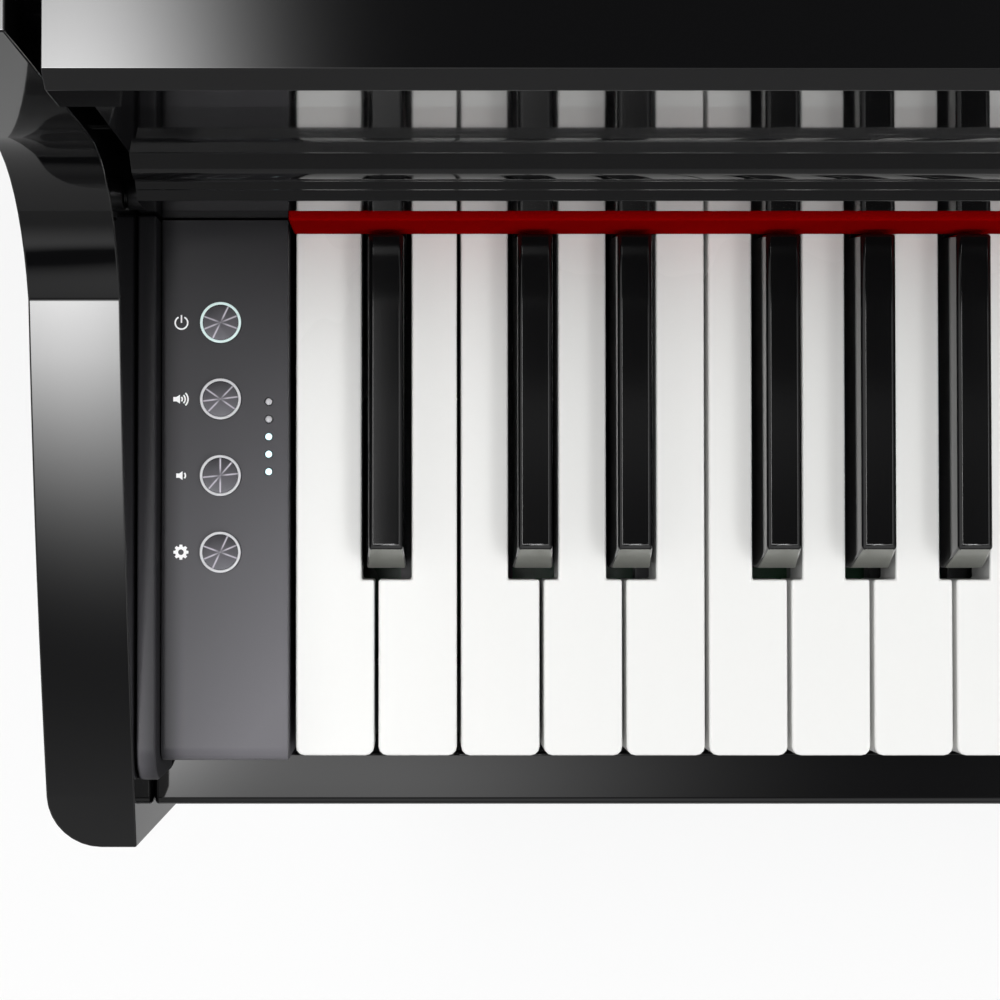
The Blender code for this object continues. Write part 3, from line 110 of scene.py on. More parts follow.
def two_tone_group():
    """A colour that drifts between two close shades, with a few fine specks of the second."""
    group, given, out = new_group(
        "two_tone",
        (("Vector", "NodeSocketVector", None), ("Scale", "NodeSocketFloat", 4.0),
         ("Speck Scale", "NodeSocketFloat", 900.0), ("Speck Share", "NodeSocketFloat", 0.2),
         ("First", "NodeSocketColor", None), ("Second", "NodeSocketColor", None)),
        (("Color", "NodeSocketColor"),))
    cloud = group.nodes.new("ShaderNodeTexNoise")
    cloud.inputs["Detail"].default_value = 3.0
    speck = group.nodes.new("ShaderNodeTexNoise")
    speck.inputs["Detail"].default_value = 1.0
    peaks = group.nodes.new("ShaderNodeMapRange")
    peaks.inputs["From Min"].default_value = 0.62
    peaks.inputs["From Max"].default_value = 0.80
    share = group.nodes.new("ShaderNodeMath")
    share.operation = "MULTIPLY_ADD"
    blend = group.nodes.new("ShaderNodeMix")
    blend.data_type = "RGBA"
    for cloudy, scale in ((cloud, "Scale"), (speck, "Speck Scale")):
        group.links.new(given.outputs["Vector"], cloudy.inputs["Vector"])
        group.links.new(given.outputs[scale], cloudy.inputs["Scale"])
    group.links.new(speck.outputs["Fac"], peaks.inputs["Value"])
    group.links.new(peaks.outputs["Result"], share.inputs[0])
    group.links.new(given.outputs["Speck Share"], share.inputs[1])
    group.links.new(cloud.outputs["Fac"], share.inputs[2])
    group.links.new(share.outputs["Value"], blend.inputs["Factor"])
    group.links.new(given.outputs["First"], blend.inputs["A"])
    group.links.new(given.outputs["Second"], blend.inputs["B"])
    group.links.new(blend.outputs["Result"], out.inputs["Color"])
    return group


UNEVEN_SHEEN = uneven_sheen_group()
FINE_RELIEF = fine_relief_group()
TWO_TONE = two_tone_group()


def add_group(material, group, output, socket, **values):
    """Place a shared effect in a material and feed one socket of its shader."""
    tree = material.node_tree
    effect = tree.nodes.new("ShaderNodeGroup")
    effect.node_tree = group
    place = tree.nodes.get("Texture Coordinate") or tree.nodes.new("ShaderNodeTexCoord")
    tree.links.new(place.outputs["Object"], effect.inputs["Vector"])
    for name, value in values.items():
        effect.inputs[name.replace("_", " ")].default_value = value
    tree.links.new(effect.outputs[output], tree.nodes["Principled BSDF"].inputs[socket])
    return effect


def finish(name, colour, **sockets):
    """A Principled material whose plain numbers sit on the shader's own sockets."""
    material = bpy.data.materials.new(name)
    material.use_nodes = True
    shader = material.node_tree.nodes["Principled BSDF"]
    shader.inputs["Base Color"].default_value = (*colour, 1.0)
    for socket, value in sockets.items():
        shader.inputs[socket.replace("_", " ")].default_value = value
    return material


def worn(name, dark, light, low, high, **sockets):
    """A finish with drifting shade and sheen."""
    material = finish(name, dark, **sockets)
    add_group(material, TWO_TONE, "Color", "Base Color", First=(*dark, 1.0), Second=(*light, 1.0))
    add_group(material, UNEVEN_SHEEN, "Roughness", "Roughness", Low=low, High=high)
    return material


def relief(material, scale, strength, depth):
    """Give a finish its own fine relief."""
    add_group(material, FINE_RELIEF, "Normal", "Normal", Scale=scale, Strength=strength, Depth=depth)
    return material


def coat(material, *nodes):
    """Put a finish on CAD pieces whose shape stays."""
    for node in nodes:
        frame["nodes"][node].material_slots[0].material = material


def show(name, mesh, material, body, sharp=38):
    """A new piece from a finished mesh: smooth where it is round, on its body, with its slot."""
    mesh.materials.clear()
    mesh.materials.append(material)
    mesh.shade_smooth()
    mesh.set_sharp_from_angle(angle=math.radians(sharp))
    piece = bpy.data.objects.new(name, mesh)
    bpy.context.scene.collection.objects.link(piece)
    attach(piece, body)
    return piece


def to_mesh(work, name):
    """Close a bmesh into a mesh."""
    mesh = bpy.data.meshes.new(name)
    work.to_mesh(mesh)
    work.free()
    return mesh


def eased(node, material, width, segments=3, angle=32, sharp=38):
    """A copy of a CAD piece with its sharp edges rounded; it stands for that piece."""
    work = bmesh.new()
    work.from_mesh(frame["nodes"][node].data)
    bmesh.ops.remove_doubles(work, verts=work.verts, dist=1e-6)
    bmesh.ops.dissolve_limit(work, angle_limit=math.radians(0.4), verts=work.verts, edges=work.edges)
    least = math.radians(angle)
    corners = [e for e in work.edges if len(e.link_faces) == 2 and e.calc_face_angle() > least]
    bmesh.ops.bevel(work, geom=corners, offset=width, affect="EDGES", segments=segments, profile=0.5,
                    material=-1, clamp_overlap=True)
    bmesh.ops.recalc_face_normals(work, faces=work.faces)
    piece = show("finished_" + node, to_mesh(work, node), material, BODY_OF[node], sharp)
    even = piece.modifiers.new("flat_faces", "WEIGHTED_NORMAL")
    even.keep_sharp = True
    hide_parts(node)
    return piece


SATIN_BLACK = worn("satin_black_paint", (0.010, 0.010, 0.011), (0.018, 0.018, 0.019), 0.38, 0.52)
relief(SATIN_BLACK, 900.0, 0.25, 0.0001)

for node in ("keybed", "bottom_board"):
    eased(node, SATIN_BLACK, 0.0012, 2)

# Key frame, levers and boards
#
# Inside the case: a moulded key frame, the comb of steel weights, and green circuit boards.
# They are seen only when the piano is open, so they keep their CAD shape.

CHASSIS = worn("chassis_moulding", (0.022, 0.022, 0.024), (0.035, 0.035, 0.037), 0.45, 0.6)
relief(CHASSIS, 1400.0, 0.3, 0.0001)
PLATED_STEEL = worn("zinc_plated_steel", (0.42, 0.43, 0.44), (0.55, 0.55, 0.54), 0.28, 0.45, Metallic=1.0)
BLACK_STEEL = worn("blackened_steel", (0.012, 0.012, 0.013), (0.024, 0.024, 0.025), 0.30, 0.45,
                   Metallic=0.6)
relief(BLACK_STEEL, 1200.0, 0.2, 0.0001)
BOARD_GREEN = worn("circuit_board", (0.006, 0.060, 0.022), (0.010, 0.095, 0.035), 0.25, 0.4)

coat(CHASSIS, "key_frame")
coat(BLACK_STEEL, "hammer_levers")
coat(BOARD_GREEN, "key_sensor_board", "control_board", "main_board")

# White keys
#
# Moulded ivory-look caps on wooden keys: smooth, slightly warm, with eased edges and a soft
# gloss worn a little duller where fingers play.

IVORY = worn("ivory_key_top", (0.875, 0.875, 0.858), (0.895, 0.895, 0.882), 0.22, 0.32,
             Specular_IOR_Level=0.25)
relief(IVORY, 700.0, 0.05, 0.0001)

for node in sorted(frame["nodes"]):
    if node.startswith("white_key"):
        eased(node, IVORY, 0.0007)

# Black keys
#
# Ebony-look sharps: black resin with a fine satin polish, sides that lean in, a sloped nose.
# The nose's forward faces are light grey: a painted reflection of the white keys before it.

EBONY = worn("ebony_key", (0.0026, 0.0026, 0.0028), (0.0044, 0.0044, 0.0047), 0.06, 0.11, Coat_Weight=0.3,
             Coat_Roughness=0.08)
relief(EBONY, 1100.0, 0.03, 0.0001)

# Painted reflection: a light grey for the nose faces that slope forward, standing for the white keys mirrored in
# them.
NOSE_PAINTED_REFLECTION = worn("ebony_nose_painted_reflection", (0.195, 0.199, 0.180), (0.221, 0.226, 0.203), 0.30, 0.38)
relief(NOSE_PAINTED_REFLECTION, 1100.0, 0.05, 0.0001)
REFLECTION_NOSE_LEAN = -0.72
for node in sorted(frame["nodes"]):
    if node.startswith("black_key"):
        piece = eased(node, EBONY, 0.0008)
        piece.data.materials.append(NOSE_PAINTED_REFLECTION)
        for face in piece.data.polygons:
            if face.normal.y < REFLECTION_NOSE_LEAN and face.normal.z > 0.2:
                face.material_index = 1

# Name felt
#
# A strip of pressed red wool felt, glued to the rail behind the keys so that they don't knock.

FELT = worn("red_wool_felt", (0.262, 0.0004, 0.0006), (0.335, 0.0010, 0.0012), 0.85, 0.95,
            Specular_IOR_Level=0.0)
relief(FELT, 2600.0, 0.6, 0.0004)
eased("name_felt", FELT, 0.0006, 3)

# Control block and cheek block
#
# Moulded covers at both ends of the keyboard, painted satin graphite with a fine texture.
# The left one holds the buttons and lamps; slim raised strips part both from the arms.
# Shade is painted into their colour: darker towards the rear, beside the joint with the left
# strip and along that joint, lighter towards the front.

PAINTED_SHADE_REAR = -0.275
PAINTED_SHADE_FRONT = -0.447
PAINTED_SHADE_CURVE = 1.35
BLOCK_JOINT = -0.6475


def tree_step(tree, operation, *values):
    """One sum in a shader tree; each side is a number or another node's output."""
    node = tree.nodes.new("ShaderNodeMath")
    node.operation = operation
    for socket, value in zip(node.inputs, values):
        if isinstance(value, float):
            socket.default_value = value
        else:
            tree.links.new(value, socket)
    return node.outputs["Value"]


GRAPHITE = finish("graphite_satin", (0.05, 0.05, 0.053), Specular_IOR_Level=0.12)
add_group(GRAPHITE, UNEVEN_SHEEN, "Roughness", "Roughness", Low=0.36, High=0.44)
relief(GRAPHITE, 3200.0, 0.22, 0.0001)
# Painted shade: the base colour darkens towards the rear, towards the left strip's joint and along that joint, in
# place of the shadow of the fallboard and arm.
tree = GRAPHITE.node_tree
parts = tree.nodes.new("ShaderNodeSeparateXYZ")
tree.links.new(tree.nodes["Texture Coordinate"].outputs["Object"], parts.inputs["Vector"])
rear_shade_ramp = tree.nodes.new("ShaderNodeMapRange")
joint_shade_ramp = tree.nodes.new("ShaderNodeMapRange")
edge = tree.nodes.new("ShaderNodeMapRange")
edge.interpolation_type = "SMOOTHSTEP"
for node, values in ((rear_shade_ramp, (PAINTED_SHADE_REAR, PAINTED_SHADE_FRONT, 0.0, 1.0)),
                     (joint_shade_ramp, (BLOCK_JOINT + 0.0025, BLOCK_JOINT + 0.0345, 0.80, 1.22)),
                     (edge, (0.0, 0.0070, 0.24, 1.0))):
    for socket, value in zip(("From Min", "From Max", "To Min", "To Max"), values):
        node.inputs[socket].default_value = value
from_joint = tree_step(tree, "ABSOLUTE", tree_step(tree, "SUBTRACT", parts.outputs["X"], BLOCK_JOINT))
for value, node in ((parts.outputs["Y"], rear_shade_ramp), (parts.outputs["X"], joint_shade_ramp), (from_joint, edge)):
    tree.links.new(value, node.inputs["Value"])
deepened_rear_shade = tree_step(tree, "POWER", rear_shade_ramp.outputs["Result"], PAINTED_SHADE_CURVE)
painted_shade_level = tree_step(tree, "MULTIPLY", deepened_rear_shade, joint_shade_ramp.outputs["Result"])
painted_shade_level = tree_step(tree, "MULTIPLY", painted_shade_level, edge.outputs["Result"])
# Painted shade mix: the dark colour where the painted shade is deepest, the light one at the front.
shade = tree.nodes.new("ShaderNodeMix")
shade.data_type = "RGBA"
shade.inputs["A"].default_value = (0.010, 0.0098, 0.0112, 1.0)
shade.inputs["B"].default_value = (0.160, 0.156, 0.171, 1.0)
tree.links.new(painted_shade_level, shade.inputs["Factor"])
tree.links.new(shade.outputs["Result"], tree.nodes["Principled BSDF"].inputs["Base Color"])
eased("control_block_left", GRAPHITE, 0.0012, 4)
eased("cheek_block_right", GRAPHITE, 0.0012, 4)
for node in ("side_strip_left", "side_strip_right"):
    eased(node, GRAPHITE, 0.0008, 3)

# Buttons
#
# Four round push buttons with turned aluminium faces, dark with a painted lighter lower side
# and three painted highlight streaks across, each edged by a ring of frosted plastic.  The
# power button's ring is lit.

RING_INNER = 0.00503
RING_WIDTH = 0.00072
RING_PROUD = 0.00022
RING_SEGMENTS = 96
# Width and turns, in degrees, of the painted highlight streaks on each button face.
PAINTED_STREAK_WIDTH = 0.00036
PAINTED_STREAK_TURNS = {
    "button_power": (22, 64, 160),
    "button_volume_up": (7, 46, 145),
    "button_volume_down": (6, 49, 90),
    "button_function": (23, 65, 160),
}


def spun(name, section, centre, axis=(0, 0, 1), steps=RING_SEGMENTS):
    """A closed section of (radius, height) pairs, turned once round an axis."""
    work = bmesh.new()
    ring = [work.verts.new((radius, 0, height)) for radius, height in section]
    for first, second in zip(ring, ring[1:] + ring[:1]):
        if first.co.x + second.co.x > 0:
            work.edges.new((first, second))
    bmesh.ops.spin(work, geom=list(work.verts) + list(work.edges), cent=(0, 0, 0), axis=(0, 0, 1),
                   angle=math.tau, steps=steps, use_merge=True)
    bmesh.ops.remove_doubles(work, verts=work.verts, dist=1e-6)
    bmesh.ops.recalc_face_normals(work, faces=work.faces)
    turn = Vector((0, 0, 1)).rotation_difference(Vector(axis)).to_matrix().to_4x4()
    bmesh.ops.transform(work, matrix=Matrix.Translation(centre) @ turn, verts=work.verts)
    return to_mesh(work, name)


def painted_streak_group():
    """Mask of one painted highlight streak through the middle of a turned face, at a given turn."""
    group, given, out = new_group(
        "painted_highlight_streak",
        (("Vector", "NodeSocketVector", None), ("Turn", "NodeSocketFloat", 0.0),
         ("Width", "NodeSocketFloat", PAINTED_STREAK_WIDTH)),
        (("Mask", "NodeSocketFloat"),))
    turned = group.nodes.new("ShaderNodeVectorRotate")
    turned.rotation_type = "Z_AXIS"
    parts = group.nodes.new("ShaderNodeSeparateXYZ")
    away = group.nodes.new("ShaderNodeMath")
    away.operation = "ABSOLUTE"
    edge = group.nodes.new("ShaderNodeMapRange")
    edge.interpolation_type = "SMOOTHSTEP"
    edge.inputs["To Min"].default_value = 1.0
    edge.inputs["To Max"].default_value = 0.0
    reach = group.nodes.new("ShaderNodeVectorMath")
    reach.operation = "LENGTH"
    fade = group.nodes.new("ShaderNodeMapRange")
    for socket, value in (("From Min", 0.0004), ("From Max", 0.0020), ("To Min", 0.15), ("To Max", 1.0)):
        fade.inputs[socket].default_value = value
    mask = group.nodes.new("ShaderNodeMath")
    mask.operation = "MULTIPLY"
    for start, end in (
            (given.outputs["Vector"], turned.inputs["Vector"]),
            (given.outputs["Turn"], turned.inputs["Angle"]),
            (turned.outputs["Vector"], parts.inputs["Vector"]), (parts.outputs["Y"], away.inputs[0]),
            (away.outputs["Value"], edge.inputs["Value"]),
            (given.outputs["Width"], edge.inputs["From Max"]),
            (given.outputs["Vector"], reach.inputs["Vector"]),
            (reach.outputs["Value"], fade.inputs["Value"]),
            (edge.outputs["Result"], mask.inputs[0]), (fade.outputs["Result"], mask.inputs[1]),
            (mask.outputs["Value"], out.inputs["Mask"])):
        group.links.new(start, end)
    return group


PAINTED_STREAK = painted_streak_group()


def turned_face(name, centre, turns):
    """Turned aluminium: fine rings, a painted lighter lower side and painted highlight streaks."""
    material = finish(name, (0.06, 0.06, 0.065), Metallic=0.85, Roughness=0.38)
    tree = material.node_tree
    shader = tree.nodes["Principled BSDF"]
    place = tree.nodes.new("ShaderNodeTexCoord")
    middle = tree.nodes.new("ShaderNodeMapping")
    middle.inputs["Location"].default_value = (-centre.x, -centre.y, -centre.z)
    parts = tree.nodes.new("ShaderNodeSeparateXYZ")
    painted_lower_light = tree.nodes.new("ShaderNodeMapRange")
    painted_lower_light.inputs["From Min"].default_value = RING_INNER
    painted_lower_light.inputs["From Max"].default_value = -RING_INNER
    # Painted reflection: the face's colour runs from dark at its rear edge to lighter at its front.
    shade = tree.nodes.new("ShaderNodeMix")
    shade.data_type = "RGBA"
    shade.inputs["A"].default_value = (0.014, 0.013, 0.015, 1.0)
    shade.inputs["B"].default_value = (0.068, 0.067, 0.074, 1.0)
    rings = tree.nodes.new("ShaderNodeTexWave")
    rings.wave_type = "RINGS"
    rings.rings_direction = "Z"
    rings.inputs["Scale"].default_value = 1400.0
    groove = tree.nodes.new("ShaderNodeBump")
    groove.inputs["Strength"].default_value = 0.25
    groove.inputs["Distance"].default_value = 0.00005
    for start, end in (
            (place.outputs["Object"], middle.inputs["Vector"]),
            (middle.outputs["Vector"], parts.inputs["Vector"]),
            (parts.outputs["Y"], painted_lower_light.inputs["Value"]),
            (painted_lower_light.outputs["Result"], shade.inputs["Factor"]),
            (middle.outputs["Vector"], rings.inputs["Vector"]),
            (rings.outputs["Fac"], groove.inputs["Height"]),
            (groove.outputs["Normal"], shader.inputs["Normal"])):
        tree.links.new(start, end)
    colour = shade.outputs["Result"]
    # Painted highlights: each streak mixes a light grey into the colour.
    for turn in turns:
        streak = tree.nodes.new("ShaderNodeGroup")
        streak.node_tree = PAINTED_STREAK
        streak.inputs["Turn"].default_value = -math.radians(turn)
        painted_streak_mix = tree.nodes.new("ShaderNodeMix")
        painted_streak_mix.data_type = "RGBA"
        painted_streak_mix.inputs["B"].default_value = (0.25, 0.235, 0.265, 1.0)
        tree.links.new(middle.outputs["Vector"], streak.inputs["Vector"])
        tree.links.new(streak.outputs["Mask"], painted_streak_mix.inputs["Factor"])
        tree.links.new(colour, painted_streak_mix.inputs["A"])
        colour = painted_streak_mix.outputs["Result"]
    tree.links.new(colour, shader.inputs["Base Color"])
    return material


RING_LIT = worn("ring_lit", (0.62, 0.74, 0.73), (0.66, 0.78, 0.77), 0.3, 0.4,
                Emission_Color=(0.70, 0.95, 0.93, 1.0), Emission_Strength=0.20)
RING_PLAIN = worn("ring_plain", (0.62, 0.62, 0.65), (0.70, 0.70, 0.72), 0.28, 0.4)
block_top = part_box("control_block_left")[1].z
ring_section = ((RING_INNER, -RING_PROUD), (RING_INNER, RING_PROUD * 0.5),
                (RING_INNER + RING_WIDTH * 0.25, RING_PROUD), (RING_INNER + RING_WIDTH * 0.75, RING_PROUD),
                (RING_INNER + RING_WIDTH, RING_PROUD * 0.5), (RING_INNER + RING_WIDTH, -RING_PROUD))
for node, turns in PAINTED_STREAK_TURNS.items():
    low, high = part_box(node)
    middle = (low + high) / 2
    face = Vector((middle.x, middle.y, high.z))
    eased(node, turned_face("turned_" + node, face, turns), 0.0004, 3)
    ring = spun("ring_" + node, ring_section, face)
    material = RING_LIT if node == "button_power" else RING_PLAIN
    show("ring_of_" + node, ring, material, BODY_OF[node])

# Lamps
#
# Five small lamps in a row beside the buttons: clear domes over the light guides of the
# control board.  The lower three are lit.

LAMP_RADIUS = 0.00098
LAMP_PITCH = 0.00492
LAMP_INSET = 0.0054
LAMP_FIRST_BACK = 0.1001
LAMP_COUNT = 5
LAMP_DARK = worn("lamp_dark", (0.50, 0.50, 0.52), (0.58, 0.58, 0.60), 0.3, 0.4)
LAMP_LIT = worn("lamp_lit", (0.70, 0.85, 0.88), (0.75, 0.90, 0.92), 0.2, 0.3,
                Emission_Color=(0.62, 0.94, 1.0, 1.0), Emission_Strength=0.8)
lamp_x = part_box("control_block_left")[1].x - LAMP_INSET
key_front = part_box("white_key_a0")[0].y
for index in range(LAMP_COUNT):
    work = bmesh.new()
    bmesh.ops.create_uvsphere(work, u_segments=24, v_segments=12, radius=LAMP_RADIUS)
    bmesh.ops.scale(work, vec=(1, 1, 0.35), verts=work.verts)
    y = key_front + LAMP_FIRST_BACK - index * LAMP_PITCH
    bmesh.ops.translate(work, vec=(lamp_x, y, block_top + 0.00005), verts=work.verts)
    lamp = to_mesh(work, f"lamp_{index + 1}")
    show(f"lamp_{index + 1}", lamp, LAMP_DARK if index < 2 else LAMP_LIT, "case")

# Printed signs
#
# Generic pictograms printed beside the buttons in pale grey: on and off, louder, quieter,
# settings.

INK = worn("pale_print", (0.95, 0.95, 0.96), (0.97, 0.97, 0.98), 0.4, 0.5)
INK_LINE = 0.00022
INK_THICKNESS = 0.00005
SIGN_SIDE = 0.0111


def bow(radius, start, end, steps=16, centre=(0.0, 0.0)):
    """Points along an arc, in degrees."""
    turns = [math.radians(start + (end - start) * step / steps) for step in range(steps + 1)]
    return [(centre[0] + radius * math.cos(turn), centre[1] + radius * math.sin(turn)) for turn in turns]


def ink_mesh(name, lines, fills):
    """Printed lines, round-ended and pressed flat, and printed areas with their holes."""
    merged = bmesh.new()
    for kind, strokes in (("3D", lines), ("2D", fills)):
        if not strokes:
            continue
        curve = bpy.data.curves.new(name, "CURVE")
        curve.dimensions = kind
        if kind == "3D":
            curve.bevel_depth = INK_LINE
            curve.bevel_resolution = 2
            curve.use_fill_caps = True
        else:
            curve.fill_mode = "BOTH"
            curve.extrude = INK_LINE
        for stroke in strokes:
            spline = curve.splines.new("POLY")
            spline.points.add(len(stroke) - 1)
            for point, (x, y) in zip(spline.points, stroke):
                point.co = (x, y, 0, 1)
            spline.use_cyclic_u = kind == "2D"
        carrier = bpy.data.objects.new(name, curve)
        printed = bpy.data.meshes.new_from_object(carrier)
        merged.from_mesh(printed)
        bpy.data.objects.remove(carrier)
    bmesh.ops.remove_doubles(merged, verts=merged.verts, dist=1e-7)
    bmesh.ops.recalc_face_normals(merged, faces=merged.faces)
    return to_mesh(merged, name)


def horn(left, throat, mouth, half_box, half_mouth):
    """Outline of a small loudspeaker sign: a box and the horn in front of it."""
    return [(left, half_box), (throat, half_box), (mouth, half_mouth), (mouth, -half_mouth),
            (throat, -half_box), (left, -half_box)]


GEAR_TEETH = 8
gear_rim = []
for tooth in range(GEAR_TEETH):
    middle = 360 / GEAR_TEETH * tooth
    gear_rim += bow(0.00212, middle - 11, middle + 11, 2)
    gear_rim += bow(0.00162, middle + 16, middle + 360 / GEAR_TEETH - 16, 2)
SIGNS = {
    "button_power": ([bow(0.00176, 118, 422, 32), [(0, 0.0000), (0, 0.0022)]], []),
    "button_volume_up": ([bow(r, -46, 46, 10, (-0.0005, 0)) for r in (0.0008, 0.0016, 0.0024)],
                         [horn(-0.00225, -0.00135, -0.00035, 0.00062, 0.00125)]),
    "button_volume_down": ([bow(0.0011, -42, 42, 8, (0.0001, 0))],
                           [horn(-0.00135, -0.00050, 0.00040, 0.00060, 0.00122)]),
    "button_function": ([], [gear_rim, bow(0.00078, 0, 352, 32)]),
}
for node, (lines, fills) in SIGNS.items():
    low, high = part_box(node)
    middle = (low + high) / 2
    mesh = ink_mesh("sign_" + node, lines, fills)
    flat = Matrix.Translation((middle.x - SIGN_SIDE, middle.y, block_top))
    mesh.transform(flat @ Matrix.Diagonal((1, 1, INK_THICKNESS / INK_LINE, 1)))
    show("sign_" + node, mesh, INK, "case")

# Arms, rim and front
#
# The case is bent board under thick black polyester lacquer, sanded and buffed until it
# mirrors: almost flat, with the faintest ripple and its edges broken by hand.

LACQUER = finish("black_polyester", (0.0035, 0.0035, 0.0038), Coat_Weight=0.6, Coat_Roughness=0.03,
                 IOR=1.5, Specular_IOR_Level=0.2)
add_group(LACQUER, UNEVEN_SHEEN, "Roughness", "Roughness", Scale=5.0, Low=0.035, High=0.085)
add_group(LACQUER, TWO_TONE, "Color", "Base Color", Speck_Share=0.5, Speck_Scale=2400.0,
          First=(0.0030, 0.0030, 0.0033, 1.0), Second=(0.0050, 0.0050, 0.0054, 1.0))
relief(LACQUER, 45.0, 0.03, 0.0004)

for node in ("side_board_left", "side_board_right"):
    eased(node, LACQUER, 0.0011, 8, angle=9, sharp=13)
eased("rim", LACQUER, 0.0025, 3)
eased("key_slip", LACQUER, 0.0012, 4)
eased("name_rail", LACQUER, 0.0012, 3)
eased("top_shelf", LACQUER, 0.0015, 3)

# Key cover
#
# The fallboard swings on steel pins in the arms.  Its front lip is a bullnose that rests
# above the keys; the cove behind it takes the fingers that close it.

eased("fallboard", LACQUER, 0.0012, 4)

PIN_SLEEVE = 0.0042
PIN_LENGTH = 0.0052
PIN_SHOWN = 0.0030
PIN_EDGE = 0.0005
pivot = next(j for j in frame["joints"] if j["name"] == "fallboard_close")["pos_m"]
arm_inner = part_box("side_board_left")[1].x
for side, word in ((-1, "left"), (1, "right")):
    work = bmesh.new()
    bmesh.ops.create_cone(work, cap_ends=True, segments=32, radius1=PIN_SLEEVE, radius2=PIN_SLEEVE,
                          depth=PIN_LENGTH)
    turn = Matrix.Rotation(math.radians(90), 4, "Y")
    bmesh.ops.transform(work, matrix=turn, verts=work.verts)
    rims = [e for e in work.edges if e.calc_face_angle(0) > 1]
    bmesh.ops.bevel(work, geom=rims, offset=PIN_EDGE, affect="EDGES", segments=3, profile=0.5, material=-1)
    place = (side * (abs(arm_inner) - PIN_SHOWN), pivot[1], pivot[2])
    bmesh.ops.translate(work, vec=place, verts=work.verts)
    show("cover_pin_" + word, to_mesh(work, "cover_pin"), BLACK_STEEL, "case")

# Inner deck and speakers
#
# In place of the soundboard lies a deck of spruce veneer under gold-toned lacquer, with two
# speakers in it.

SPRUCE = finish("spruce_deck", (0.42, 0.26, 0.10), Coat_Weight=0.4, Coat_Roughness=0.12)
add_group(SPRUCE, UNEVEN_SHEEN, "Roughness", "Roughness", Scale=9.0, Low=0.28, High=0.42)
tree = SPRUCE.node_tree
place = tree.nodes["Texture Coordinate"]
stretch = tree.nodes.new("ShaderNodeMapping")
stretch.inputs["Rotation"].default_value = (0, 0, math.radians(35))
stretch.inputs["Scale"].default_value = (1.0, 14.0, 1.0)
grain = tree.nodes.new("ShaderNodeTexNoise")
grain.inputs["Scale"].default_value = 22.0
grain.inputs["Detail"].default_value = 6.0
shade = tree.nodes.new("ShaderNodeMix")
shade.data_type = "RGBA"
shade.inputs["A"].default_value = (0.30, 0.165, 0.055, 1.0)
shade.inputs["B"].default_value = (0.52, 0.34, 0.14, 1.0)
tree.links.new(place.outputs["Object"], stretch.inputs["Vector"])
tree.links.new(stretch.outputs["Vector"], grain.inputs["Vector"])
tree.links.new(grain.outputs["Fac"], shade.inputs["Factor"])
tree.links.new(shade.outputs["Result"], tree.nodes["Principled BSDF"].inputs["Base Color"])
eased("inner_deck", SPRUCE, 0.0010, 2)
PAPER_CONE = worn("paper_cone", (0.016, 0.016, 0.017), (0.028, 0.028, 0.03), 0.55, 0.7)
relief(PAPER_CONE, 500.0, 0.4, 0.0003)
RUBBER = worn("black_rubber", (0.010, 0.010, 0.010), (0.016, 0.016, 0.016), 0.45, 0.6)
BASKET = worn("pressed_basket", (0.018, 0.018, 0.019), (0.028, 0.028, 0.029), 0.3, 0.45, Metallic=0.4)
SPEAKER_DEPTH = 0.055
ROLL_INNER = 0.0462
ROLL_OUTER = 0.0560
ROLL_FOOT = -0.0050
CAP_RADIUS = 0.0186
CAP_RISE = 0.0075
CAP_FOOT = -0.0208
for node in ("speaker_bass_side", "speaker_treble_side"):
    low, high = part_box(node)
    centre = Vector(((low.x + high.x) / 2, (low.y + high.y) / 2, high.z))
    frame_section = ((0, -0.0330), (0.0330, -0.0330), (0.0570, -0.0050), (0.0570, -0.0004), (0.0572, 0),
                     (0.0646, 0), (0.0650, -0.0004), (0.0650, -0.0036), (0.0646, -0.0040),
                     (0.0598, -0.0040), (0.0358, -0.0340), (0.0358, 0.0005 - SPEAKER_DEPTH),
                     (0.0352, -SPEAKER_DEPTH), (0, -SPEAKER_DEPTH))
    basket = show("basket_of_" + node, spun(node, frame_section, centre), BASKET, "case")
    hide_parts(node)
    cone_section = ((0.0178, -0.0200), (0.0300, -0.0136), (ROLL_INNER, -0.0050), (ROLL_INNER, -0.0056),
                    (0.0298, -0.0145), (0.0178, -0.0210))
    show("cone_of_" + node, spun(node, cone_section, centre), PAPER_CONE, "case")
    turns = [math.radians(turn) for turn in range(0, 91, 10)]
    cap_section = [(CAP_RADIUS * math.sin(turn), CAP_FOOT + CAP_RISE * math.cos(turn)) for turn in turns]
    cap_section.append((0, CAP_FOOT))
    show("dust_cap_of_" + node, spun(node, cap_section, centre), RUBBER, "case")
    middle = (ROLL_INNER + ROLL_OUTER) / 2
    half = (ROLL_OUTER - ROLL_INNER) / 2
    turns = [math.radians(turn) for turn in range(0, 181, 15)]
    roll = [(middle - half * math.cos(turn), ROLL_FOOT + half * 0.85 * math.sin(turn)) for turn in turns]
    roll += [(ROLL_OUTER + 0.0012, ROLL_FOOT), (ROLL_OUTER + 0.0012, ROLL_FOOT - 0.0008),
             (ROLL_INNER, ROLL_FOOT - 0.0008)]
    show("surround_of_" + node, spun(node, roll, centre), RUBBER, "case")

# Music desk
#
# A lacquered board on two steel pins, with a ledge for the sheets and a folding strut.

eased("music_desk", LACQUER, 0.0012, 3)
eased("desk_stay", PLATED_STEEL, 0.0006, 2)

# Lid
#
# The main lid turns on a brass piano hinge along the bass side; the front flap folds back on
# it.  A stick with a rounded foot stands in a brass cup and holds the lid up.

BRASS = worn("polished_brass", (0.60, 0.40, 0.14), (0.68, 0.47, 0.19), 0.12, 0.22, Metallic=1.0)
relief(BRASS, 300.0, 0.03, 0.0002)
for node in ("lid_main", "lid_front_flap"):
    eased(node, LACQUER, 0.0030, 4)
eased("lid_prop", LACQUER, 0.0015, 3)

